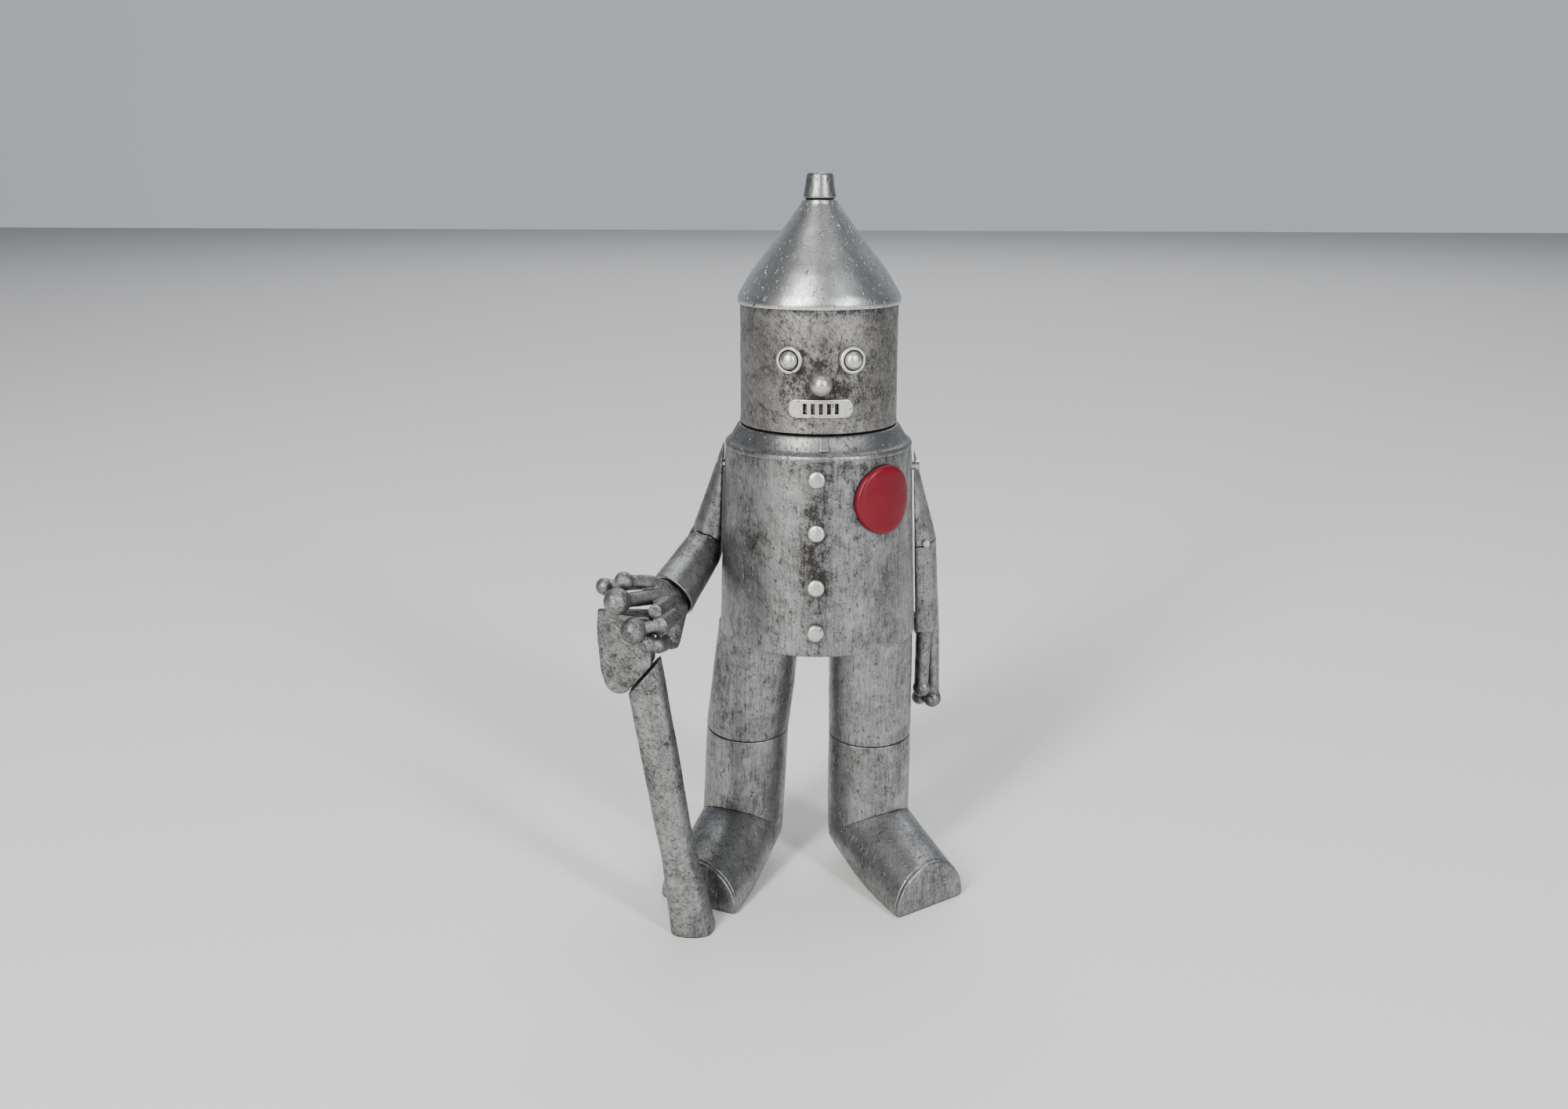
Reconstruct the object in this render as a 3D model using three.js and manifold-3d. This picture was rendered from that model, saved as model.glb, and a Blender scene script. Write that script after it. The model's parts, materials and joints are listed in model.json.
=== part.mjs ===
// A standing wind-up tin figure with a cone cap, leaning on a short axe.
// Millimetres, +Z up, the figure faces -Y. "Right" and "left" are the figure's own, so its right is at -X.
// Sheet-metal shells are hollow. A spring-driven movement in the body turns the head.
import * as THREE from "three";
import { mergeVertices } from "three/addons/utils/BufferGeometryUtils.js";
import Module from "manifold-3d";

const wasm = await Module();
wasm.setup();

const V = (x, y, z) => new THREE.Vector3(x, y, z);
const rad = THREE.MathUtils.degToRad;

// ---------------------------------------------------------------- driving dimensions
const WALL = 0.7; // sheet thickness of every shell
const GAP = 0.3; // clearance between neighbouring pieces
const FINE = 36; // sides of the large round shells
const ROUND = 24; // sides of limb tubes
const SMALL = 10; // sides of pins and rivets

const BODY = { bottomZ: 87.5, bottomR: 31.4, topZ: 147.7, topR: 29.2, axleZ: 141, keyZ: 106 };
const COLLAR = { edgeZ: 148, flatZ: 154.4, flatR: 24.9 };
const HEAD = { radius: 24.3, bottomZ: 155, topZ: 192.6, turn: rad(4) };
const CAP = { brimR: 25.2, brimZ: 191.6, neckR: 5.1, neckZ: 222.6, topR: 3.9, topZ: 230 };
const FACE = { eyeZ: 177, eyeX: 9, noseZ: 170, mouthZ: 162.8, mouthWidth: 19, mouthHeight: 5.4 };
const BUTTONS = { x: 0.8, radius: 2.7, z: [142.4, 126.2, 109.4, 95.2] };
const BADGE = { angle: rad(44), z: 135, radius: 10.5, thickness: 1.5 };

const LEG = { radius: 13.7, y: 7, topZ: 87.2, ankleZ: 14.4, slope: rad(20.4), footLength: 37.1 };
const LEGS = {
  left: {
    hipX: 17.4,
    knee: V(17.5, LEG.y, 48.7),
    kneeNormal: V(0, 0.077, -1),
    ankleX: 17.5,
    splay: rad(34),
    capSkew: rad(5),
  },
  right: {
    hipX: -18.9,
    knee: V(-23.5, LEG.y, 49.9),
    kneeNormal: V(-0.042, 0.109, -1),
    ankleX: -25.4,
    splay: rad(-18),
    capSkew: rad(-4),
  },
};

const ARMS = {
  right: {
    side: -1,
    radius: 6.3,
    cuffRadius: 7.7,
    top: V(-23.4, 0, 147.5),
    elbow: V(-35.6, 4, 114),
    pinX: -36.4,
    cuff: V(-44.2, -22, 103.5),
    cuffNormal: V(-0.54, -0.705, -0.46),
  },
  left: {
    side: 1,
    radius: 6,
    cuffRadius: 6,
    top: V(23.4, 0, 147.5),
    elbow: V(32, 8, 115),
    pinX: 34.6,
    cuff: V(34.2, 14.8, 82.6),
    cuffNormal: V(0, 0, -1),
  },
};

const AXE = {
  foot: V(-37, -41.4, 0),
  eye: V(-52.6, -37.4, 95),
  shaftR: 5.8,
  footR: 7.3,
  tenonR: 2,
  frontY: -42,
  backY: -33,
  edgeX: -65,
  cheekX: -53,
  edgeHalf: 0.9,
};
// The lower edge of the head, where it meets the shaft.
const AXE_SEAT = { point: V(-50.5, -37.5, 83.6), normal: V(-0.747, 0, 0.665) };

// Movement: wheel centres in X and Z, teeth, and the layer along Y that each wheel runs in.
const MODULE = 0.6;
const MOVEMENT = {
  plateY: 9,
  plateThickness: 1,
  plateHalfWidth: 21.5,
  plateBottomZ: 90.6,
  plateTopZ: 138.4,
  great: { x: 0, z: BODY.keyZ, teeth: 48 },
  second: { teeth: 36, pinion: 10, angle: rad(90) },
  third: { teeth: 32, pinion: 8, angle: rad(25.6) },
  fan: { pinion: 8, angle: rad(-60) },
  pillars: [V(-18.5, 0, 95.5), V(18.5, 0, 95.5), V(-16, 0, 134.4)],
};
const CRANK = { radius: 3.3, discR: 5, pinR: 0.8 };
const RATCHET = { teeth: 12, root: 3.9, tip: 5.2, frontY: -3, backY: -1.7 };
const CLICK = { pivot: { x: -8.6, z: 4.4 }, tip: { x: -4.1, z: 2.7 } };
const SCREW = { x: 14, z: 117.5, radius: 1.1 };

// ---------------------------------------------------------------- finishes
const finish = (color, metalness, roughness) =>
  new THREE.MeshStandardMaterial({ color, metalness, roughness });
const antiqueTin = finish(0x8f9190, 0.9, 0.42);
const redEnamel = finish(0xb3162a, 0.1, 0.35);
const brass = finish(0xb08d46, 1.0, 0.35);
const steel = finish(0x9a9c9f, 1.0, 0.3);
const blueSpring = finish(0x3d4a5c, 1.0, 0.3);

// ---------------------------------------------------------------- solids
function solid(geometry) {
  const bare = geometry.index ? geometry.toNonIndexed() : geometry.clone();
  bare.deleteAttribute("normal");
  bare.deleteAttribute("uv");
  const merged = mergeVertices(bare, 1e-4);
  const corners = [];
  const index = merged.index.array;
  for (let i = 0; i < index.length; i += 3) {
    const [a, b, c] = [index[i], index[i + 1], index[i + 2]];
    if (a !== b && b !== c && c !== a) corners.push(a, b, c);
  }
  const build = (triVerts) =>
    new wasm.Manifold(
      new wasm.Mesh({ numProp: 3, vertProperties: merged.attributes.position.array, triVerts }),
    );
  const made = build(new Uint32Array(corners));
  return made.volume() > 0 ? made : build(new Uint32Array(corners.reverse()));
}

function geometryOf(manifold) {
  const mesh = manifold.getMesh();
  const geometry = new THREE.BufferGeometry();
  geometry.setAttribute("position", new THREE.BufferAttribute(new Float32Array(mesh.vertProperties), 3));
  geometry.setIndex(new THREE.BufferAttribute(new Uint32Array(mesh.triVerts), 1));
  return geometry;
}

const union = (first, ...others) => others.reduce((all, next) => all.add(next), first);
const less = (first, ...others) => others.reduce((all, next) => all.subtract(next), first);

// A profile of [radius, height] points turned about the Z axis.
function turned(profile, sides = FINE) {
  const points = profile.map(([r, z]) => new THREE.Vector2(r, z));
  return solid(new THREE.LatheGeometry(points, sides).rotateX(Math.PI / 2));
}

// The closed profile of a ring with a rectangular section.
const ringProfile = (inner, outer, low, high) => [
  [inner, low],
  [outer, low],
  [outer, high],
  [inner, high],
  [inner, low],
];

// Moves a geometry that was made along +Y so that its origin is at a point and +Y runs along a direction.
function alongDirection(geometry, origin, direction) {
  const turn = new THREE.Quaternion().setFromUnitVectors(V(0, 1, 0), direction.clone().normalize());
  return geometry.applyQuaternion(turn).translate(origin.x, origin.y, origin.z);
}

// A solid of revolution about the line from a point along a direction.
// The profile is a list of [radius, distance] that starts and ends on the line.
function turnedAlong(origin, direction, profile, sides = SMALL) {
  const points = profile.map(([r, t]) => new THREE.Vector2(r, t));
  return solid(alongDirection(new THREE.LatheGeometry(points, sides), origin, direction));
}

function bar(from, to, radius, sides = SMALL, endRadius = radius) {
  const direction = to.clone().sub(from);
  const length = direction.length();
  const geometry = new THREE.CylinderGeometry(endRadius, radius, length, sides).translate(0, length / 2, 0);
  return solid(alongDirection(geometry, from, direction));
}

const ball = (centre, radius, sides = 9) =>
  solid(new THREE.SphereGeometry(radius, sides, sides / 2 + 1).translate(centre.x, centre.y, centre.z));

const block = (low, high) =>
  solid(
    new THREE.BoxGeometry(high.x - low.x, high.y - low.y, high.z - low.z).translate(
      (low.x + high.x) / 2,
      (low.y + high.y) / 2,
      (low.z + high.z) / 2,
    ),
  );

// Keeps the part of a solid that lies behind a plane, on the side its normal points away from.
function keepBehind(shape, point, normal) {
  const size = 400;
  const half = new THREE.BoxGeometry(size, size, size).translate(0, -size / 2, 0);
  return shape.intersect(solid(alongDirection(half, point, normal)));
}

// A round tube along a line, trimmed by planes. A plane marked closed leaves a plate of the wall's thickness.
function trimmedTube({ from, to, radius, endRadius = radius, planes, sides = ROUND }) {
  const overrun = 30;
  const along = to.clone().sub(from);
  const widening = ((endRadius - radius) * overrun) / along.length();
  along.setLength(overrun);
  const [start, end] = [from.clone().sub(along), to.clone().add(along)];
  const [startRadius, lastRadius] = [radius - widening, endRadius + widening];
  let outer = bar(start, end, startRadius, sides, lastRadius);
  let inner = bar(start, end, startRadius - WALL, sides, lastRadius - WALL);
  for (const { point, normal, closed } of planes) {
    const unit = normal.clone().normalize();
    outer = keepBehind(outer, point, unit);
    inner = keepBehind(inner, point.clone().addScaledVector(unit, closed ? -WALL : 1), unit);
  }
  return outer.subtract(inner);
}

// A flat shape in X and Z, given as points or a THREE.Shape, that fills y from back to front.
function slab(outline, frontY, backY) {
  const corners = Array.isArray(outline) ? outline.map(([x, z]) => new THREE.Vector2(x, z)) : null;
  const shape = corners ? new THREE.Shape(corners) : outline;
  const depth = backY - frontY;
  const geometry = new THREE.ExtrudeGeometry(shape, { depth, bevelEnabled: false, curveSegments: 8 });
  return solid(geometry.rotateX(Math.PI / 2).translate(0, backY, 0));
}

function roundedRectangle(halfWidth, low, high, corner) {
  const shape = new THREE.Shape();
  shape.moveTo(-halfWidth + corner, low);
  shape.lineTo(halfWidth - corner, low);
  shape.absarc(halfWidth - corner, low + corner, corner, -Math.PI / 2, 0);
  shape.lineTo(halfWidth, high - corner);
  shape.absarc(halfWidth - corner, high - corner, corner, 0, Math.PI / 2);
  shape.lineTo(-halfWidth + corner, high);
  shape.absarc(-halfWidth + corner, high - corner, corner, Math.PI / 2, Math.PI);
  shape.lineTo(-halfWidth, low + corner);
  shape.absarc(-halfWidth + corner, low + corner, corner, Math.PI, 1.5 * Math.PI);
  return shape;
}

const yBar = (x, z, radius, fromY, toY, sides = SMALL) => bar(V(x, fromY, z), V(x, toY, z), radius, sides);

function addPart(group, name, shape, material) {
  const mesh = new THREE.Mesh(geometryOf(shape), material);
  mesh.name = name;
  group.add(mesh);
  return mesh;
}

// ---------------------------------------------------------------- body casing
const bodyRadius = (z) =>
  BODY.topR + ((BODY.topZ - z) * (BODY.bottomR - BODY.topR)) / (BODY.topZ - BODY.bottomZ);

const bodyTaper = Math.atan2(BODY.bottomR - BODY.topR, BODY.topZ - BODY.bottomZ);

// The plane that an arm's flat inner side lies in. It touches the body's side and leans with its taper.
const armPlane = (side) => ({
  point: V(side * (bodyRadius(BODY.axleZ) + 2 * GAP), 0, BODY.axleZ),
  normal: V(-side * Math.cos(bodyTaper), 0, -Math.sin(bodyTaper)),
  closed: true,
});

function bodyShells() {
  const wall = turned([
    [BODY.bottomR - WALL, BODY.bottomZ],
    [BODY.bottomR, BODY.bottomZ],
    [BODY.topR, BODY.topZ],
    [BODY.topR - WALL, BODY.topZ],
    [BODY.bottomR - WALL, BODY.bottomZ],
  ]);
  const size = 100;
  const half = (low, high) => wall.intersect(block(V(-size, low, 0), V(size, high, 2 * size)));
  const axleHoles = bar(V(-size, 0, BODY.axleZ), V(size, 0, BODY.axleZ), 2 + GAP);
  const buttonHoles = BUTTONS.z.map((z) => yBar(BUTTONS.x, z, 1.3, -size, 0));
  const badgeHole = bar(V(0, 0, BADGE.z), radialPoint(BADGE.angle, size, BADGE.z), 1.6);
  const screwHoles = [-1, 1].map((side) => yBar(side * SCREW.x, SCREW.z, SCREW.radius + GAP, 0, size));
  return {
    front: less(half(-size, -GAP / 2), axleHoles, badgeHole, ...buttonHoles),
    back: less(half(GAP / 2, size), axleHoles, yBar(0, BODY.keyZ, 3.5, 0, size), ...screwHoles),
  };
}

// A point at a distance from the Z axis; the angle runs from the front (-Y) towards the figure's left (+X).
function radialPoint(angle, distance, z) {
  return V(distance * Math.sin(angle), -distance * Math.cos(angle), z);
}

function collar() {
  const edgeR = BODY.topR;
  const cone = turned([
    [3.7, COLLAR.flatZ - WALL],
    [COLLAR.flatR - 0.4, COLLAR.flatZ - WALL],
    [edgeR - 1.4, COLLAR.edgeZ + 1.2],
    [edgeR - 0.8, COLLAR.edgeZ],
    [edgeR, COLLAR.edgeZ],
    [edgeR - 0.2, COLLAR.edgeZ + 0.8],
    [edgeR - 0.8, COLLAR.edgeZ + 1.7],
    [COLLAR.flatR, COLLAR.flatZ],
    [3.7, COLLAR.flatZ],
    [3.7, COLLAR.flatZ - WALL],
  ]);
  const tabAngle = rad(6);
  const tabBottom = radialPoint(tabAngle, edgeR - 2.4, 150.4);
  const tabTop = radialPoint(tabAngle, COLLAR.flatR + 0.6, 154);
  const tab = bar(tabBottom, tabTop, 1.4, 4);
  return cone.add(tab);
}

// Rivet with a low domed head. The head's underside is at the origin and the shank runs backwards.
function rivetProfile(headR, headHeight, shankR, shankLength) {
  return [
    [0, -shankLength],
    [shankR, -shankLength],
    [shankR, 0],
    [headR, 0],
    [headR, headHeight * 0.7],
    [headR * 0.85, headHeight],
    [0, headHeight],
  ];
}

function badge() {
  const inner = bodyRadius(BADGE.z) + GAP + 0.35;
  const along = (distance) => radialPoint(BADGE.angle, inner + distance, BADGE.z);
  const disc = bar(along(-9), along(9), BADGE.radius, 32);
  const band = turned(ringProfile(inner, inner + BADGE.thickness, BADGE.z - 20, BADGE.z + 20));
  const shank = bar(along(-3), along(0.6), 1.2);
  return disc.intersect(band).add(shank);
}

// ---------------------------------------------------------------- head
function headShell() {
  const wall = turned(ringProfile(HEAD.radius - WALL, HEAD.radius, HEAD.bottomZ, HEAD.topZ));
  const hole = (angle, z, radius) => bar(V(0, 0, z), radialPoint(angle, 60, z), radius);
  const eyeAngle = Math.asin(FACE.eyeX / HEAD.radius);
  const eyeHoles = [hole(eyeAngle, FACE.eyeZ, 1.5), hole(-eyeAngle, FACE.eyeZ, 1.5)];
  return less(wall, ...eyeHoles, hole(0, FACE.noseZ, 1.5));
}

function headFloor() {
  const outer = HEAD.radius - WALL - GAP;
  return turned(ringProfile(1.9, outer, HEAD.bottomZ + 1, HEAD.bottomZ + 1.8));
}

function capCone() {
  return turned([
    [CAP.brimR - 0.6, CAP.brimZ],
    [CAP.brimR, CAP.brimZ],
    [CAP.brimR, CAP.brimZ + 1.6],
    [CAP.brimR - 0.8, CAP.brimZ + 3.4],
    [CAP.neckR + 0.6, CAP.neckZ - 1.6],
    [CAP.neckR, CAP.neckZ - GAP],
    [CAP.neckR - WALL, CAP.neckZ - GAP],
    [CAP.neckR - 0.3, CAP.neckZ - 2],
    [CAP.brimR - 2, CAP.brimZ + 3.2],
    [CAP.brimR - 0.6, CAP.brimZ + 1.4],
    [CAP.brimR - 0.6, CAP.brimZ],
  ]);
}

// The cap's spout: a short tapered pipe with a sleeve that plugs into the cone.
function capSpout() {
  const bore = 2.7;
  return turned(
    [
      [bore, CAP.neckZ - 3],
      [CAP.neckR - WALL - GAP, CAP.neckZ - 3],
      [CAP.neckR - WALL - GAP, CAP.neckZ],
      [CAP.neckR, CAP.neckZ],
      [CAP.topR + 0.2, CAP.topZ - 0.8],
      [CAP.topR - 0.3, CAP.topZ],
      [bore, CAP.topZ],
      [bore, CAP.neckZ - 3],
    ],
    24,
  );
}

// Button eye: a flat bezel with a domed middle.
const eyeProfile = [
  [0, -2],
  [1.2, -2],
  [1.2, 0],
  [4.1, 0],
  [4.1, 0.8],
  [3.4, 1.1],
  [2.9, 1.1],
  [2.5, 2],
  [1.5, 2.7],
  [0, 3],
];

const noseProfile = [
  [0, -2],
  [1.2, -2],
  [1.2, 0],
  [3.5, 0],
  [3.3, 1.6],
  [2.5, 3.2],
  [1.3, 4.2],
  [0, 4.5],
];

function onHead(angle, z, profile) {
  return turnedAlong(radialPoint(angle, HEAD.radius + GAP, z), radialPoint(angle, 1, 0), profile, 14);
}

// A curved plate with upright slots.
function mouthPlate() {
  const inner = HEAD.radius + GAP;
  const [low, high] = [FACE.mouthZ - FACE.mouthHeight / 2, FACE.mouthZ + FACE.mouthHeight / 2];
  const band = turned(ringProfile(inner, inner + 0.8, low - 2, high + 2));
  const shape = roundedRectangle(FACE.mouthWidth / 2, low, high, 2);
  const plate = band.intersect(slab(shape, -40, -10));
  const slotPitch = 2.3;
  const slots = [-2, -1, 0, 1, 2].map((i) =>
    block(V(i * slotPitch - 0.6, -40, low + 1.1), V(i * slotPitch + 0.6, -10, high - 1.1)),
  );
  return less(plate, ...slots);
}

// ---------------------------------------------------------------- legs
function leg({ hipX, knee, kneeNormal, ankleX, splay, capSkew }) {
  const hip = V(hipX, LEG.y, LEG.topZ);
  const ankle = V(ankleX, LEG.y, LEG.ankleZ);
  const flat = radialPoint(splay, 1, 0);
  const footDirection = flat.clone().multiplyScalar(Math.cos(LEG.slope)).add(V(0, 0, -Math.sin(LEG.slope)));
  const shinDirection = ankle.clone().sub(knee).normalize();
  const ankleNormal = shinDirection.add(footDirection);
  const apart = (point, normal, distance) =>
    point.clone().addScaledVector(normal, distance / normal.length());
  const away = (normal) => normal.clone().negate();

  const thigh = trimmedTube({
    from: hip,
    to: knee,
    radius: LEG.radius,
    planes: [
      { point: hip, normal: V(0, 0, 1), closed: true },
      { point: apart(knee, kneeNormal, -GAP / 2), normal: kneeNormal },
    ],
  });
  const hipStub = bar(V(hipX, LEG.y, LEG.topZ - 0.4), V(hipX, LEG.y, BODY.bottomZ + 2.4), 3);
  const shin = trimmedTube({
    from: knee,
    to: ankle,
    radius: LEG.radius,
    planes: [
      { point: apart(knee, kneeNormal, GAP / 2), normal: away(kneeNormal) },
      { point: apart(ankle, ankleNormal, -GAP / 2), normal: ankleNormal },
    ],
  });

  // The foot slopes down to the toe and is flat underneath; a separate D-shaped plate closes the toe.
  const toe = apart(ankle, footDirection, LEG.footLength / Math.cos(LEG.slope));
  const capNormal = radialPoint(splay + capSkew, 1, 0);
  const capThickness = 1.2;
  const foot = trimmedTube({
    from: ankle,
    to: toe,
    radius: LEG.radius,
    planes: [
      { point: apart(ankle, ankleNormal, GAP / 2), normal: away(ankleNormal) },
      { point: apart(toe, capNormal, -capThickness - GAP), normal: capNormal },
      { point: V(0, 0, 0), normal: V(0, 0, -1), closed: true },
    ],
  });
  const capBar = bar(apart(toe, footDirection, -20), apart(toe, footDirection, 20), LEG.radius, ROUND);
  const toeCap = [
    [toe, capNormal],
    [apart(toe, capNormal, -capThickness), away(capNormal)],
    [V(0, 0, 0), V(0, 0, -1)],
  ].reduce((shape, [point, normal]) => keepBehind(shape, point, normal), capBar);
  return { thigh: thigh.add(hipStub), shin, foot, toeCap };
}

function bodyBase() {
  const disc = turned(ringProfile(4, BODY.bottomR - WALL - 2 * GAP, BODY.bottomZ + 0.8, BODY.bottomZ + 1.6));
  const holes = Object.values(LEGS).map(({ hipX }) => bar(V(hipX, LEG.y, 80), V(hipX, LEG.y, 95), 3 + GAP));
  return less(disc, ...holes);
}

// ---------------------------------------------------------------- arms
function armTubes({ side, radius, cuffRadius, top, elbow, pinX, cuff, cuffNormal }) {
  const upperDirection = elbow.clone().sub(top).normalize();
  const foreDirection = cuff.clone().sub(elbow).normalize();
  const elbowNormal = upperDirection.clone().add(foreDirection).normalize();
  const elbowPlane = (offset, sign) => ({
    point: elbow.clone().addScaledVector(elbowNormal, offset),
    normal: elbowNormal.clone().multiplyScalar(sign),
  });
  const axleHole = bar(V(side * 20, 0, BODY.axleZ), V(side * 34, 0, BODY.axleZ), 1.6 + GAP);
  const pinHole = bar(V(pinX, elbow.y - 12, elbow.z), V(pinX, elbow.y, elbow.z), 0.9 + GAP);
  const upper = trimmedTube({
    from: top,
    to: elbow,
    radius,
    planes: [
      armPlane(side),
      elbowPlane(-GAP / 2, 1),
      { point: V(0, 0, COLLAR.edgeZ + 0.6), normal: V(0, 0, 1), closed: true },
    ],
  });
  const fore = trimmedTube({
    from: elbow,
    to: cuff,
    radius,
    endRadius: cuffRadius,
    planes: [elbowPlane(GAP / 2, -1), { point: cuff, normal: cuffNormal }, armPlane(side)],
  });
  return { upper: less(upper, axleHole, pinHole), fore: less(fore, pinHole) };
}

// The axle that an arm swings on: a round bar with a collar inside the casing and another inside the arm.
function shoulderAxle(side) {
  const wall = bodyRadius(BODY.axleZ);
  const armFace = wall + 2 * GAP;
  return turnedAlong(V(0, 0, BODY.axleZ), V(side, 0, 0), [
    [0, wall - 5],
    [1.6, wall - 5],
    [1.6, wall - 3],
    [3.2, wall - 3],
    [3.2, wall - 2],
    [1.6, wall - 2],
    [1.6, armFace + WALL + 1.2],
    [0, armFace + WALL + 1.2],
  ]);
}

// The elbow's rivet: it goes through the front of the seam, with a low dome outside.
function elbowPin({ elbow, pinX, radius }) {
  const headR = 1.3;
  const face = Math.sqrt(radius ** 2 - Math.max(Math.abs(pinX - elbow.x) - headR, 0) ** 2) + GAP;
  return turnedAlong(V(pinX, elbow.y, elbow.z), V(0, -1, 0), [
    [0, face - 3],
    [0.9, face - 3],
    [0.9, face],
    [headR, face],
    [1.1, face + 0.35],
    [0, face + 0.5],
  ]);
}

// A finger: straight stretches with round knuckles and a ball at its tip.
function finger(points, radius, tipRadius) {
  const stretches = points.slice(1).map((point, i) => bar(points[i], point, radius, 7));
  const knuckles = points.slice(1, -1).map((point) => ball(point, radius, 7));
  return union(ball(points.at(-1), tipRadius), ...stretches, ...knuckles);
}

function rightHand() {
  const { elbow, cuff, radius } = ARMS.right;
  const direction = cuff.clone().sub(elbow).normalize();
  const palmTop = V(-43.2, -26, 100.5);
  const plug = bar(cuff.clone().addScaledVector(direction, -8), palmTop, radius - WALL - GAP, 16, 4);
  const palm = finger([palmTop, V(-44.8, -37.5, 93.2), V(-45.3, -44.6, 94.8)], 2.5, 2.2);
  const heel = bar(palmTop, V(-43.6, -36, 92.4), 4.4, 12, 3.4);
  const web = bar(palmTop, V(-45, -43.2, 99.4), 3.6, 12, 2.4);
  const knuckleWeb = bar(V(-43.4, -27.4, 103), V(-46.6, -42, 104.4), 3, 12, 2.2);
  const fingers = [
    finger([V(-44.6, -25.3, 106.4), V(-49.5, -31, 110.2), V(-56.2, -38, 112.6)], 2.3, 2.9),
    finger([V(-49.5, -31, 110.2), V(-62.9, -33.5, 109.4)], 2, 3),
    finger([V(-42.9, -25.6, 104.8), V(-49.6, -35, 106.7), V(-57.1, -45, 108.4)], 2.3, 4.1),
    finger([V(-40.6, -28, 100.9), V(-44.2, -44.6, 101.3), V(-52.1, -46.7, 100.1)], 2.2, 4),
    finger([V(-45.3, -44.6, 94.8), V(-48.3, -45.3, 95.6)], 2.2, 2.8),
  ];
  return union(plug, ball(palmTop, 4.6, 12), palm, heel, web, knuckleWeb, ...fingers);
}

function leftHand() {
  const { elbow, cuff, radius } = ARMS.left;
  const direction = cuff.clone().sub(elbow).normalize();
  const plugSolid = bar(
    cuff.clone().addScaledVector(direction, -9),
    cuff.clone().addScaledVector(direction, 2),
    radius - WALL - GAP,
    16,
  );
  const { point, normal } = armPlane(1);
  const clear = point.clone().addScaledVector(normal, -(WALL + GAP));
  const plug = keepBehind(plugSolid, clear, normal);
  const fingers = [
    finger([V(35, 12.4, 81.6), V(34.8, 12.6, 61.8)], 2.1, 2.6),
    finger([V(37.8, 16.2, 81.6), V(38.6, 17.6, 56.3)], 2.2, 2.8),
    finger([V(34.8, 18.4, 81.6), V(34.4, 20.2, 55.6)], 2, 2.6),
  ];
  return union(plug, ...fingers);
}

// ---------------------------------------------------------------- axe
function axeHead() {
  const outline = [
    [-64.6, 103.6],
    [-65, 93.8],
    [-64.2, 86],
    [-63, 80.5],
    [-61.2, 78],
    [-58.5, 77.4],
    [-56, 78],
    [-47.9, 87.1],
    [-47.9, 102.4],
  ];
  const plate = slab(outline, AXE.frontY, AXE.backY);
  const middle = (AXE.frontY + AXE.backY) / 2;
  const cheekWedge = (y, sign) => {
    const direction = V(AXE.edgeX - AXE.cheekX, middle + sign * AXE.edgeHalf - y, 0);
    const normal = V(direction.y, -direction.x, 0).multiplyScalar(sign * Math.sign(-direction.x));
    return [V(AXE.cheekX, y, 0), normal];
  };
  const [frontPoint, frontNormal] = cheekWedge(AXE.frontY, -1);
  const [backPoint, backNormal] = cheekWedge(AXE.backY, 1);
  const wedge = keepBehind(keepBehind(plate, frontPoint, frontNormal), backPoint, backNormal);
  const direction = AXE.eye.clone().sub(AXE.foot).normalize();
  const eyeHole = bar(
    AXE.foot.clone().addScaledVector(direction, 70),
    AXE.foot.clone().addScaledVector(direction, 120),
    AXE.tenonR + GAP,
    16,
  );
  return wedge.subtract(eyeHole);
}

// A thick rough-hewn shaft that flares at the foot, with a tenon that passes up through the head.
function axeShaft() {
  const direction = AXE.eye.clone().sub(AXE.foot).normalize();
  const body = turnedAlong(
    AXE.foot,
    direction,
    [
      [0, -8],
      [AXE.footR, -8],
      [AXE.footR, 6],
      [6.2, 16],
      [AXE.shaftR, 30],
      [AXE.shaftR, 110],
      [0, 110],
    ],
    12,
  );
  const seat = AXE_SEAT.point.clone().addScaledVector(AXE_SEAT.normal, -GAP);
  const shaft = keepBehind(keepBehind(body, seat, AXE_SEAT.normal), V(0, 0, 0), V(0, 0, -1));
  const tenon = bar(
    AXE.foot.clone().addScaledVector(direction, 70),
    AXE.foot.clone().addScaledVector(direction, 103),
    AXE.tenonR,
    16,
  );
  return shaft.add(tenon);
}

// ---------------------------------------------------------------- movement
// A toothed outline in the XZ plane. The first tooth points along startAngle.
function toothedWheel({ teeth, startAngle = 0, frontY, backY, bore }) {
  const pitchR = (MODULE * teeth) / 2;
  const [root, tip] = [pitchR - 1.2 * MODULE, pitchR + 0.9 * MODULE];
  const shape = new THREE.Shape();
  for (let i = 0; i < teeth; i++) {
    const corners = [
      [root, -0.29],
      [tip, -0.12],
      [tip, 0.12],
      [root, 0.29],
    ];
    corners.forEach(([r, share], k) => {
      const angle = startAngle + ((i + share) * 2 * Math.PI) / teeth;
      const [x, z] = [r * Math.cos(angle), r * Math.sin(angle)];
      if (i === 0 && k === 0) shape.moveTo(x, z);
      else shape.lineTo(x, z);
    });
  }
  const wheel = slab(shape, frontY, backY);
  return bore ? wheel.subtract(yBar(0, 0, bore, frontY - 1, backY + 1)) : wheel;
}

const pitchRadius = (teeth) => (MODULE * teeth) / 2;

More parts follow.
